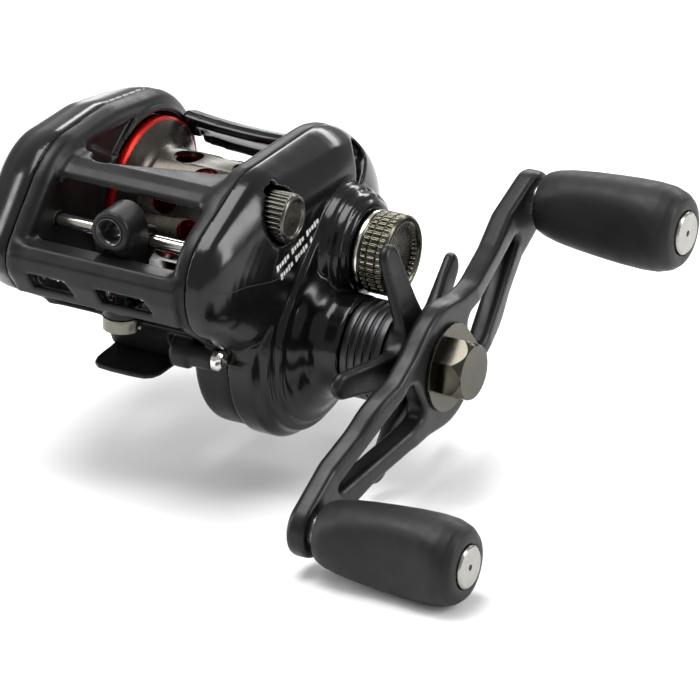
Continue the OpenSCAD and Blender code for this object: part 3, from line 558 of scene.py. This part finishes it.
def open_housing(space, shell, palm):
    """Hollows the gear housing and opens the two walls round the spool."""
    shell = cut(shell, rod(space, CRANK, 11.6, 20, CUP_INSIDE, 0.4), 0.4)
    keep = meet(rod(space, SPOOL, 5, SEAM, 17.3), rod(space, CRANK, 10, SEAM, CUP))
    shell = join(shell, keep, 0.3)
    shell = join(shell, rod(space, CRANK, 14.8, SEAM, 6.5, 0.4), 0.6)
    lip = rod(space, SPOOL, -INNER - 0.6, -INNER + 0.5, 17.1, 0.5)
    shell = join(shell, meet(lip, palm + 1.6, 0.4), 0.5)
    shell = cut(shell, rod(space, SPOOL, -20, -INNER + 1, SPOOL_OPENING, 0.3), 0.8)
    shell = cut(shell, rod(space, SPOOL, -INNER - 0.2, INNER, SPOOL_OPENING + 0.2, 0.2), 0.3)
    shell = cut(shell, rod(space, SPOOL, INNER - 1, INNER + 0.85, SPOOL_OPENING, 0.2), 0.3)
    shell = cut(shell, rod(space, SPOOL, INNER - 1, 20, 5), 0.2)
    return cut(shell, rod(space, CRANK, SEAM - 1.35, 20, 5), 0.2)


def bore_frame(space, shell):
    """Recess, screw and shaft bores, the thumb bar's slot, and the slots through the band."""
    triangle = outline(space.y, space.z, [(-14.6, 35.2), (0.4, 34.6), (-6.4, 30.0)])
    shell = cut(shell, meet(triangle, between(space.x, -INNER - 0.9, -INNER + 3), 0.4), 0.4)
    bores = [
        (WORM, -SEAM + 1, -INNER + 1, 2.6), (WORM, INNER - 1, 20, 2.6),
        (STEADY_BAR, -SEAM + 1, 16.75, 1.25), (THUMBSCREW, INNER + 0.6, 20, 1.25),
        (LUG, 13, 20, 1.1), (LUG, 16.75, 20, 2.4), (IDLER, SEAM - 1.6, 20, 1.0),
        *[(centre, INNER + 0.6, 20, 1) for centre in COVER_SCREWS]]
    for centre, x0, x1, radius in bores:
        shell = cut(shell, rod(space, centre, x0, x1, radius), 0.15)
    pin_slot = skin(space.y, space.z, PIN_SLOT)
    shell = cut(shell, meet(pin_slot, between(space.x, INNER - 1, 20)), 0.2)
    for x0, x1 in ((-13.6, -4.6), (0.2, 11.4)):
        shell = cut(shell, front_slot(space, x0, x1), 0.5)
    foot = meet(between(space.x, -FOOT_HALF_WIDTH, FOOT_HALF_WIDTH), space.z - FOOT_TOP)
    return cut(shell, foot, 0.1)


def make_frame():
    """The frame that every other piece sits in."""
    space = Space((-18.3, -40.2, -15.9), (18.3, 26.4, 41), 0.36)
    palm = skin(space.y, space.z, PALM_OUTLINE)
    gear = skin(space.y, space.z, GEAR_OUTLINE)
    shell = join(frame_walls(space, palm, gear), roof_bar(space), 1.4)
    shell = join(shell, front_band(space), 1.2)
    shell = join_floor(space, shell)
    shell = meet(shell, frame_envelope(space, palm, gear) - 0.05, 0.3)
    shell = join(shell, screw_lug(space), 0.8)
    shell = open_housing(space, shell, palm)
    shell = bore_frame(space, shell)
    piece = solid_piece("frame_shell", space, shell, "housing", satin_black)
    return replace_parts(piece, "frame")


# ---------- side covers ----------

def make_palm_cover():
    """The cover that the hand holds, with the ring that seats in the frame and the bearing's boss."""
    space = Space((-30, -40.2, -1), (-15.4, 25.4, 41), 0.36)
    side = (space.y, space.z)
    small = [(c[0] * 0.9, c[1], c[2] * 0.88) for c in PALM_OUTLINE]
    end = [(c[0] * 0.62 - 2, c[1] * 0.9 + 2.2, c[2] * 0.56) for c in PALM_OUTLINE]
    outer = loft(space, [
        (-29.4, skin(*side, end)), (-26.6, skin(*side, small, 0.7)), (-23.2, skin(*side, PALM_OUTLINE, 1.2)),
        (-19.4, skin(*side, PALM_OUTLINE, 0.1)), (-SEAM, skin(*side, PALM_OUTLINE, 0.1))])
    outer = meet(outer, -29.35 - space.x, 3.0)
    cover = meet(outer, space.x + SEAM + 0.06, 0.12)
    cavity = meet(outer + 1.8, space.x + SEAM + 1.4, 0.4)
    cover = cut(cover, cavity, 0.3)
    ring = cut(rod(space, SPOOL, -18.6, -16.05, 15.6, 0.3), rod(space, SPOOL, -22, -12, 14.3))
    cover = join(cover, ring, 0.2)
    boss = rod(space, SPOOL, -28.6, -20.9, 6.2, 0.2)
    cover = join(cover, boss, 0.8)
    for x0, x1, radius in ((-19.6, -12, 14.3), (-31, -26, 5.0), (-27, -16, 1.8), (-24.2, -16, 5.0)):
        cover = cut(cover, rod(space, SPOOL, x0, x1, radius), 0.25)
    piece = solid_piece("palm_cover_shell", space, cover, "housing", gloss_black)
    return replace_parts(piece, "palm_side_cover")


def gear_dome(space):
    """The domed face over the gears."""
    side = (space.y, space.z)
    dome = loft(space, [
        (SEAM, skin(*side, GEAR_OUTLINE)), (18.8, skin(*side, GEAR_OUTLINE, 0.1)),
        (21.4, skin(*side, GEAR_OUTLINE, 1.2)),
        (23.4, skin(*side, [(*SPOOL, 17.2), (-13.5, 20.2, 14), (-24, 20.4, 8.4), (-21.5, 13, 4)])),
        (25.4, skin(*side, [(*SPOOL, 13.8), (-11, 19.5, 10.5), (-18, 18.4, 5), (-16, 14, 3)]))])
    return meet(dome, space.x - 25.5, 2.2)


def join_bosses(space, dome):
    """Adds the crank housing, the cast control boss, the two steps round both, and the lug's block."""
    side = (space.y, space.z)
    housing = turned(space, CRANK, [
        (0, 16), (HOUSING, 16), (HOUSING, RIM), (18.3, 22.9), (16.6, 24.2), (14.6, 26.2), (12.2, 28),
        (10.4, 28.9), (9.5, 29.9), (9.2, 31), (9.2, 33.9), (8.9, CRANK_BOSS), (0, CRANK_BOSS)])
    boss = turned(space, SPOOL, [
        (0, 22), (10.9, 22), (10.9, 27.2), (10.4, 27.9), (10.0, 28), (9.9, 29.6), (9.5, 30), (8.9, 30.1),
        (8.7, 30.7), (8.1, 31), (6.1, 31), (6.1, 34), (0, 34)])
    low_step = meet(skin(*side, [(*CRANK, 17.3), (*SPOOL, 11.6)]), between(space.x, 20, 25.2), 0.8)
    high_step = meet(skin(*side, [(*CRANK, 15.5), (*SPOOL, 10.9)]), between(space.x, 20, 26.6), 0.6)
    cover = join(dome, join(low_step, high_step, 0.2), 0.5)
    cover = join(cover, housing, 0.6)
    cover = join(cover, boss, 0.4)
    block = meet(between(space.y, -24.4, -20.6), between(space.z, 3.2, 6))
    return join(cover, meet(block, between(space.x, 17.8, 20.6), 0.4), 0.6)


def recess_screws(space, cover):
    """Sinks the screws' heads and the thumbscrew into the face, with the slit beside the thumbscrew."""
    side = (space.y, space.z)
    teardrop = skin(*side, [(*COVER_SCREWS[0], 2.3), (9.6, 26.6, 0.5)])
    cover = cut(cover, meet(teardrop, 20.9 - space.x, 0.4), 0.5)
    cover = cut(cover, rod(space, COVER_SCREWS[0], 20.4, 40, 2.2), 0.3)
    cover = cut(cover, rod(space, COVER_SCREWS[1], 20.4, 40, 2.3), 0.3)
    cover = cut(cover, rod(space, THUMBSCREW, 19.6, 40, 5.0, 0.3), 0.5)
    slit = skin(*side, [(THUMBSCREW[0] - 2, 34.9, 0.5), (THUMBSCREW[0] + 0.6, 35.3, 0.5)])
    return cut(cover, meet(slit, 18.9 - space.x), 0.2)


def gear_hollow(space, dome):
    """Inside of the cover, with pockets for the gears and pillars round the screws."""
    inner_housing = turned(space, CRANK, [
        (0, 15), (17.4, 15), (17.4, 21.6), (15.6, 23.4), (12.6, 25.4), (10.6, 27), (0, 27)])
    hollow = join(meet(dome + 1.7, space.x - 23.9, 0.5), inner_housing, 0.3)
    pockets = [(SPOOL, 26, 10.0), (SPOOL, 29.2, 8.7), (WORM, 20.3, 4.4), (IDLER, 20.6, 8.3)]
    for centre, depth, radius in pockets:
        hollow = join(hollow, rod(space, centre, 15, depth, radius, 0.2), 0.2)
    hollow = cut(hollow, rod(space, THUMBSCREW, 15, 22, 6.2), 0.3)
    for centre in COVER_SCREWS:
        hollow = cut(hollow, rod(space, centre, 15, 24, 3.3), 0.3)
    return hollow


def bore_cover(space, cover):
    """Bearing seats, screw holes and the relief for the thumb bar's pin."""
    bores = [
        (CRANK, 20, 33.5, 7.0), (CRANK, 20, 40, 4.6), (SPOOL, 20, 33.1, 4.5), (SPOOL, 20, 31.2, 4.9),
        (SPOOL, 20, 40, 1.8), (THUMBSCREW, 15, 40, 1.35), (LUG, 15, 30, 2.35),
        *[(centre, 15, 40, 1.1) for centre in COVER_SCREWS]]
    for centre, x0, x1, radius in bores:
        cover = cut(cover, rod(space, centre, x0, x1, radius), 0.15)
    return cut(cover, meet(skin(space.y, space.z, PIN_SLOT), space.x - 20), 0.2)


def make_gear_cover():
    """The cover over the gears: dome, bosses and steps outside, pockets and bores inside."""
    space = Space((17.2, -38.4, -16.6), (35, 25.4, 39), 0.34)
    dome = gear_dome(space)
    cover = meet(join_bosses(space, dome), SEAM + 0.06 - space.x, 0.1)
    cover = recess_screws(space, cover)
    cover = cut(cover, gear_hollow(space, dome), 0.3)
    cover = bore_cover(space, cover)
    piece = solid_piece("gear_cover_shell", space, cover, "housing", gloss_black)
    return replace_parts(piece, "gear_side_cover")


# ---------- handle, star and knobs ----------

def handle_axes(space):
    """Coordinates along and across the handle."""
    y, z = space.y - CRANK[0], space.z - CRANK[1]
    c, s = math.cos(HANDLE_TILT), math.sin(HANDLE_TILT)
    return y * c + z * s, z * c - y * s


def make_handle():
    """Two-armed handle with a window in each arm; both arms drop towards the reel at the knobs."""
    space = Space((43.4, -50.6, -20.6), (52.6, 42.6, 26.6), 0.34)
    u, v = handle_axes(space)
    plan = np.hypot(u, v) - 11
    windows = None
    for side in (1, -1):
        a, b = u * side, v * side
        wrist = skin(a, b, [(0, 0, 10.6), (19, -1.6, 6.6)])
        arm = skin(a, b, [(19, -1.6, 6.5), (KNOB_ARM, 0, 5.2)])
        plan = join(plan, join(wrist, arm, 3.0), 2.0)
        window = skin(a, b, [(12, -3.6, 2), (11.2, 0.8, 2), (33, -1.2, 0.9)])
        windows = window if windows is None else np.minimum(windows, window)
    plan = cut(plan, windows, 0.6)
    reach = KNOB_ARM + 8
    drop = 3.4
    side_view = outline(u, space.x, [
        (-reach, ARM - drop), (-33, ARM - drop), (-13, ARM), (13, ARM), (33, ARM - drop),
        (reach, ARM - drop), (reach, ARM_FACE - drop), (34, ARM_FACE - drop), (14, ARM_FACE),
        (-14, ARM_FACE), (-34, ARM_FACE - drop), (-reach, ARM_FACE - drop)])
    arm = meet(plan, side_view, 1.3)
    arm = cut(arm, rod(space, CRANK, 40, 60, 3.0), 0.2)
    for centre in (REAR_KNOB, FRONT_KNOB):
        arm = cut(arm, rod(space, centre, 40, 60, 1.8), 0.2)
    piece = solid_piece("handle_shell", space, arm, "crank", handle_black)
    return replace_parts(piece, "handle_arm")


def make_star():
    """Star drag: five arms that lean back towards the reel, and a domed hub with the nut's hexagon."""
    space = Space((40, CRANK[0] - 24.4, CRANK[1] - 24.4), (47.2, CRANK[0] + 24.4, CRANK[1] + 24.4), 0.3)
    y, z = space.y - CRANK[0], space.z - CRANK[1]
    plan = np.hypot(y, z) - 7.6
    phase = math.radians(29.6)
    for i in range(5):
        angle = phase + i * 2 * math.pi / 5
        a = y * math.cos(angle) + z * math.sin(angle)
        b = z * math.cos(angle) - y * math.sin(angle)
        plan = join(plan, skin(a, b, [(5, 0, 3.4), (14, 0, 2.5), (20.7, 0, 2.5)]), 2.6)
    dish = turned(space, CRANK, [
        (0, 42.8), (10, 42.8), (15, 42), (23.3, 40.6), (24.3, 40.8), (23.9, 42.4), (18, 43.5),
        (12, 45), (8, 46.3), (0, 46.6)])
    hub = turned(space, CRANK, [(0, 42.4), (8.4, 42.4), (8.2, 44), (7, 46), (0, 46.6)])
    star = join(meet(plan, dish, 1.0), hub, 0.6)
    nut_half_width = 4.5
    hexagon = np.full_like(plan, -1e9)
    for i in range(3):
        angle = i * math.pi / 3 + math.pi / 6
        hexagon = np.maximum(hexagon, np.abs(y * math.sin(angle) - z * math.cos(angle)) - nut_half_width)
    star = cut(star, meet(hexagon, space.x - 44.6), 0.15)
    star = cut(star, rod(space, CRANK, 40, 50, 3.05), 0.15)
    piece = solid_piece("star_shell", space, star, "star", handle_black)
    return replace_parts(piece, "star_drag")


def make_knob(node, body, centre):
    """Paddle knob: a turned grip with two scooped faces, and bores for its cap and its bushes."""
    reach = 8.6
    y, z = centre
    space = Space((48.6, y - reach, z - reach), (78.2, y + reach, z + reach), 0.3)
    grip = turned(space, centre, [
        (0, 49), (4.4, 49), (5.4, 49.5), (6.1, 51.2), (6.7, 54), (7.2, 58), (7.6, 62.5), (7.9, 67),
        (8, 71), (7.8, 73.8), (7.1, 76), (6.1, 77.2), (4.9, 77.7), (0, 77.7)])
    grip = meet(grip, between(space.x, 49.05, 77.65), 0.8)
    scoop_radius = 40.4
    waist = 5.8
    for side in (1, -1):
        scoop = np.hypot(space.x - 62, space.y - y - side * (scoop_radius + waist)) - scoop_radius
        grip = cut(grip, scoop, 2.2)
    grip = cut(grip, rod(space, centre, 76.6, 79, 4.0), 0.2)
    grip = cut(grip, rod(space, centre, 48, 76.4, 3.4), 0.2)
    piece = solid_piece(node + "_grip", space, grip, body, soft_touch)
    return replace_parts(piece, node)


# ---------- smaller solid pieces ----------

def make_thumb_bar():
    """The bar behind the spool, its two tongues, and the pin that runs in the gear side's slot."""
    half = INNER - 0.4
    space = Space((-half - 0.6, 13.8, 21), (half + 0.6, 25.4, 33.8), 0.3)
    sag = 0.9 * (1 - (space.x / half) ** 2)
    form = outline(space.y, space.z + sag, [
        (15.8, 28.6), (15.9, 29.8), (17.4, 30.4), (20, 29.6), (22.4, 27.4), (24, 25), (24.6, 22),
        (23.4, 21.8), (22.4, 24.2), (20.2, 26.4), (17.6, 27.8)])
    pad = meet(form, between(space.x, -half, half), 0.7)
    tongue = outline(space.y, space.z, [
        (16.6, 28.8), (17.9, 27), (19.4, 24.6), (22.4, 24.2), (20.8, 27.4), (17.8, 29.4)])
    for x0 in (-half, half - 2):
        pad = join(pad, meet(tongue, between(space.x, x0, x0 + 2), 0.3), 0.8)
    piece = solid_piece("thumb_bar_pad", space, pad, "thumb_bar", gloss_black)
    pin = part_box("thumb_bar")[1].x / MM
    profile = [(0, half - 1), (0.8, half - 1), (0.8, pin - 0.2), (0.6, pin), (0, pin)]
    points, faces = lathe(profile, PIN_SLOT[0][:2], 24)
    pin_piece = mesh_piece("thumb_bar_pin", points, faces, "thumb_bar", bearing_steel)
    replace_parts(piece, "thumb_bar")
    return piece, pin_piece


def make_line_guide():
    """The block that runs across the front: eye, post and the socket of the pawl."""
    space = Space((GUIDE - 4.2, -35.4, 11.6), (GUIDE + 4.2, -22.8, 33.6), 0.22)
    x = space.x - GUIDE
    eye_radius = np.hypot(x, space.z - EYE[1])
    eye = meet(eye_radius - 3.7, between(space.y, -34.6, -27.6), 0.7)
    post = meet(outline(space.y, space.z, [
        (-34.2, 29), (-34.2, 25), (-32.7, 25), (-32.7, 22.5), (-34.8, 22), (-34.9, 14), (-26.2, 14),
        (-26.2, 21.6), (-23.6, 22.6), (-23.4, 27), (-27.6, 29)]), between(x, -3.3, 3.3), 0.7)
    groove = meet(between(x, -1.2, 1.2), between(space.y, -36, -33.2))
    tighter_below_shoulder = 0.1 * (space.z < 22)
    post = cut(post, groove + tighter_below_shoulder, 0.4)
    socket = meet(np.hypot(x, space.y - WORM[0]) - 3.4, between(space.z, 12.2, 15.2), 0.3)
    block = join(join(eye, post, 1.2), socket, 0.4)
    block = cut(block, meet(eye_radius - 2.6, between(space.y, -40, -20)), 0.2)
    block = cut(block, space.radius(WORM) - 3.5, 0.2)
    block = cut(block, space.radius(STEADY_BAR) - 1.3, 0.2)
    block = cut(block, meet(np.hypot(x, space.y - WORM[0]) - 2.1, space.z - 16), 0.2)
    piece = solid_piece("line_guide_block", space, block, "line_guide", guide_black)
    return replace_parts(piece, "line_guide")


def make_foot():
    """Foot plate with blunt, thinned ends and four rivet holes."""
    space = Space((-7.4, -30.6, -0.4), (7.4, 30.6, 2.2), 0.26)
    wide = FOOT_HALF_WIDTH
    front = [(wide, -13.5), (wide, -26.8), (6, -28.6), (4.8, -29.6), (2, -29.95)]
    rear = [(2, 29.95), (4.2, 29.6), (5.4, 28.4), (6.5, 13.5)]
    right = [*front[::-1], *rear[::-1]]
    plan = outline(space.x, space.y, [*right, *[(-x, y) for x, y in reversed(right)]])
    half = FOOT_HALF_LENGTH
    side_view = outline(space.y, space.z, [
        (-half, 0.05), (-half, 0.95), (-18, 1.68), (18, 1.68), (half, 0.95), (half, 0.05)])
    foot = meet(plan, side_view, 0.5)
    for y in (-16, 18):
        for x in (-3.6, 3.6):
            foot = cut(foot, meet(np.hypot(space.x - x, space.y - y) - 1.02, 5 - space.z), 0.1)
    piece = solid_piece("reel_foot_plate", space, foot, "housing", foot_black, relax=2)
    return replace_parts(piece, "reel_foot")


# ---------- turned and knurled pieces ----------

def lathe(profile, centre, count, wobble=None):
    """Mesh of a turned piece from (radius, x) points; wobble(radius, x, angle) shapes its edge."""
    angles = [2 * math.pi * i / count for i in range(count)]
    points, faces = [], []
    rows = []
    for radius, x in profile:
        if radius == 0:
            rows.append([len(points)])
            points.append((x, *centre))
            continue
        rows.append(list(range(len(points), len(points) + count)))
        for angle in angles:
            r = wobble(radius, x, angle) if wobble else radius
            points.append((x, centre[0] + r * math.cos(angle), centre[1] + r * math.sin(angle)))
    for lower, upper in zip(rows, rows[1:]):
        for i in range(count):
            j = (i + 1) % count
            if len(lower) == 1:
                faces.append((lower[0], upper[i], upper[j]))
            elif len(upper) == 1:
                faces.append((lower[i], upper[0], lower[j]))
            else:
                faces.append((lower[i], upper[i], upper[j], lower[j]))
    if len(rows[0]) > 1:
        for i in range(count):
            j = (i + 1) % count
            faces.append((rows[-1][i], rows[0][i], rows[0][j], rows[-1][j]))
    return points, faces


def knurl(bands, teeth, depth):
    """Ridges along the axis inside each (x0, x1) band: flat crests, sloped sides and run-out ends."""
    def wobble(radius, x, angle):
        for x0, x1 in bands:
            if x0 <= x <= x1:
                fade = min(1.0, (x - x0) / 0.12, (x1 - x) / 0.12)
                phase = (angle * teeth / (2 * math.pi)) % 1
                height = min(1.0, max(0.0, (0.5 - abs(phase - 0.5)) * 5 - 0.7))
                return radius - depth * fade * (1 - height)
        return radius
    return wobble


def stepped(points, step):
    """The profile with extra points, so that no stretch is longer than step."""
    result = [points[0]]
    for (r0, x0), (r1, x1) in zip(points, points[1:]):
        pieces = max(1, math.ceil(math.hypot(r1 - r0, x1 - x0) / step))
        result += [(r0 + (r1 - r0) * i / pieces, x0 + (x1 - x0) * i / pieces) for i in range(1, pieces + 1)]
    return result


def make_cast_cap():
    """Cast control cap with three knurled bands, and the bright ring at its foot."""
    profile = stepped([
        (0, 36.3), (5.6, 36.6), (6.0, 37.3), (6.3, 37.6), (7, 37.6), (7.4, 37.2), (7.45, 36.0), (7.2, 35.95),
        (7.2, 35.85), (7.45, 35.8), (7.45, 34.2), (7.2, 34.15), (7.2, 34.05), (7.45, 34), (7.45, 32.9),
        (7.1, 32.7), (7.1, 31.4), (6.25, 31.4), (6.25, 34.9), (0, 34.9)], 0.12)
    bands = [(32.9, 34), (34.2, 35.8), (36, 37.1)]
    points, faces = lathe(profile, SPOOL, 40 * 10, knurl(bands, 40, 0.35))
    piece = mesh_piece("cast_cap_knurled", points, faces, "cast_control", gunmetal_cap)
    ring_profile = [(7.12, 31.45), (7.3, 31.45), (7.38, 31.6), (7.38, 32.1), (7.3, 32.3), (7.12, 32.3)]
    points, faces = lathe(ring_profile, SPOOL, 96)
    ring = mesh_piece("cast_cap_ring", points, faces, "cast_control", nickel)
    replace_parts(piece, "cast_control_cap")
    return piece, ring


def make_thumbscrew():
    """Knurled screw that holds the palm cover on."""
    profile = stepped([
        (0, 26.5), (3.2, 26.5), (3.4, 26.9), (3.9, 26.9), (4.3, 26.6), (4.45, 26.2), (4.45, 20.6),
        (4.2, 20), (1.2, 20), (1.2, 15.8), (0.9, 15.6), (0, 15.6)], 0.3)
    points, faces = lathe(profile, THUMBSCREW, 30 * 10, knurl([(20.4, 26.4)], 30, 0.4))
    piece = mesh_piece("thumbscrew_knurled", points, faces, "cover_thumbscrew", gunmetal_screw)
    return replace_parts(piece, "cover_thumbscrew")


def tube_between(path, radius, sides=8):
    """Round bead along a path of points in millimetres."""
    points, faces = [], []
    path = [Vector(p) for p in path]
    for i, spot in enumerate(path):
        ahead = (path[min(i + 1, len(path) - 1)] - path[max(i - 1, 0)]).normalized()
        out = ahead.cross(Vector((0.3, 0.2, 1))).normalized()
        up = ahead.cross(out)
        for k in range(sides):
            angle = 2 * math.pi * k / sides
            points.append(spot + (out * math.cos(angle) + up * math.sin(angle)) * radius)
    for i in range(len(path) - 1):
        for k in range(sides):
            j = (k + 1) % sides
            faces.append((i * sides + k, i * sides + j, (i + 1) * sides + j, (i + 1) * sides + k))
    faces.append(tuple(range(sides)))
    faces.append(tuple((len(path) - 1) * sides + k for k in reversed(range(sides))))
    return points, faces


def worm_threads():
    """The crossed grooves of the worm shaft, shown as two thin threads that cross."""
    points, faces = [], []
    turns, x0, x1 = 5, -13.2, 13.2
    for hand in (1, -1):
        steps = turns * 24
        path = [(x0 + (x1 - x0) * i / steps,
                 WORM[0] + 2.02 * math.cos(hand * i * 2 * math.pi / 24),
                 WORM[1] + 2.02 * math.sin(hand * i * 2 * math.pi / 24)) for i in range(steps + 1)]
        more_points, more_faces = tube_between(path, 0.22, 6)
        faces += [tuple(k + len(points) for k in face) for face in more_faces]
        points += more_points
    return mesh_piece("worm_threads", points, faces, "worm", bar_steel)


# ---------- marks on the gear cover ----------

def on_surface(tree, y, z, lift=0.0):
    """The point on the cover seen from the crank side at (y, z)."""
    spot = tree.ray_cast(Vector((60 * MM, y * MM, z * MM)), Vector((-1, 0, 0)))
    return spot[0] / MM + spot[1] * lift, spot[1]


def make_print(tree):
    """Two rows of generic ticks in white print, like a scale with no lettering."""
    points, faces = [], []
    rows = [((-18.4, 21.6), (-4.6, 25.4), 17), ((-17.0, 19.6), (-6.8, 22.6), 13)]
    corners = ((-1, -1), (1, -1), (1, 1), (-1, 1))
    for (y0, z0), (y1, z1), count in rows:
        along = Vector((0, y1 - y0, z1 - z0)).normalized()
        for i in range(count):
            if i % 6 == 5:
                continue
            share = i / (count - 1)
            spot, normal = on_surface(tree, y0 + (y1 - y0) * share, z0 + (z1 - z0) * share, 0.015)
            run = (along - normal * along.dot(normal)).normalized() * (0.26 if i % 2 else 0.36)
            rise = normal.cross(run).normalized() * (0.42 if i % 3 else 0.6)
            first = len(points)
            for lift in (-0.05, 0.015):
                points += [spot + normal * lift + run * a + rise * b for a, b in corners]
            faces += [(first + 3, first + 2, first + 1, first), tuple(first + k for k in (4, 5, 6, 7))]
            faces += [tuple(first + k for k in (a, (a + 1) % 4, (a + 1) % 4 + 4, a + 4)) for a in range(4)]
    return mesh_piece("scale_print", points, faces, "housing", print_white, smooth=False)


def make_parting_line(tree):
    """Dark line where the cover's upper and lower mouldings meet."""
    ends = [(-36.8, 23.2), (-31.5, 21.6), (-27.2, 21.3), (-20.3, 19.9), (-12.4, 18.8)]
    path = []
    for (y0, z0), (y1, z1) in zip(ends, ends[1:]):
        for i in range(10):
            share = i / 10
            path.append(on_surface(tree, y0 + (y1 - y0) * share, z0 + (z1 - z0) * share)[0])
    points, faces = tube_between(path, 0.07)
    return mesh_piece("cover_parting_line", points, faces, "housing", seam_dark)


# ---------- floor, light and camera ----------

# In metres, and the lens in millimetres
CAMERA_PLACE = Vector((0.7169, -1.2075, 0.6314))
CAMERA_TARGET = Vector((0.0414, -0.0209, 0.0106))
LENS = 443.6


def pale_paper():
    """Plain pale backdrop with a trace of unevenness."""
    nodes = Nodes("pale_floor")
    colour = (0.9, 0.9, 0.9)
    tone = nodes.mix(nodes.noise(nodes.place(), 0.004), scaled(colour, 0.985), colour)
    return nodes.finish(tone, 0.9, specular=0.1)


def make_floor():
    """Pale floor at the lowest point of the part."""
    half = 2.5
    height = cad_box[0].z
    mesh = bpy.data.meshes.new("floor")
    corners = [(-half, -half, height), (half, -half, height), (half, half, height), (-half, half, height)]
    mesh.from_pydata(corners, [], [(0, 1, 2, 3)])
    floor = bpy.data.objects.new("floor", mesh)
    bpy.context.scene.collection.objects.link(floor)
    mesh.materials.append(pale_paper())


def area_light(name, place, target, size, power):
    data = bpy.data.lights.new(name, "AREA")
    data.shape = "RECTANGLE"
    data.size, data.size_y = size
    data.energy = power
    light = bpy.data.objects.new(name, data)
    light.location = place
    light.rotation_euler = (Vector(target) - Vector(place)).to_track_quat("-Z", "Y").to_euler()
    bpy.context.scene.collection.objects.link(light)


def make_lights():
    """Even pale surroundings, with one soft box above and strips at the sides and behind."""
    bpy.context.scene.view_settings.view_transform = "Standard"
    world = bpy.data.worlds.new("studio")
    bpy.context.scene.world = world
    world.use_nodes = True
    world.node_tree.nodes["Background"].inputs["Color"].default_value = (1, 1, 1, 1)
    world.node_tree.nodes["Background"].inputs["Strength"].default_value = 0.5
    middle = (0.02, -0.005, 0.01)
    area_light("top_box", (-0.15, -0.05, 0.75), middle, (0.5, 0.5), 7)
    area_light("left_strip", (-0.75, -0.35, 0.3), middle, (0.15, 0.7), 4.5)
    area_light("right_strip", (0.75, 0.25, 0.35), middle, (0.2, 0.6), 4.5)
    area_light("back_strip", (-0.1, 0.8, 0.4), middle, (0.9, 0.15), 4)


def make_camera():
    """Long lens from the front, the crank side and above."""
    data = bpy.data.cameras.new("camera")
    data.lens = LENS
    data.sensor_width = 36
    data.clip_start, data.clip_end = 0.05, 20
    camera = bpy.data.objects.new("camera", data)
    camera.location = CAMERA_PLACE
    camera.rotation_euler = (CAMERA_TARGET - CAMERA_PLACE).to_track_quat("-Z", "Y").to_euler()
    bpy.context.scene.collection.objects.link(camera)
    bpy.context.scene.camera = camera


make_camera()
make_lights()
make_floor()
dress_cad_nodes()
make_frame()
make_palm_cover()
gear_cover = make_gear_cover()
make_handle()
make_star()
make_knob("rear_knob", "rear_knob", REAR_KNOB)
make_knob("front_knob", "front_knob", FRONT_KNOB)
make_thumb_bar()
make_line_guide()
make_foot()
make_cast_cap()
make_thumbscrew()
worm_threads()
bpy.context.view_layer.update()
cover_tree = BVHTree.FromObject(gear_cover, bpy.context.evaluated_depsgraph_get())
make_print(cover_tree)
make_parting_line(cover_tree)
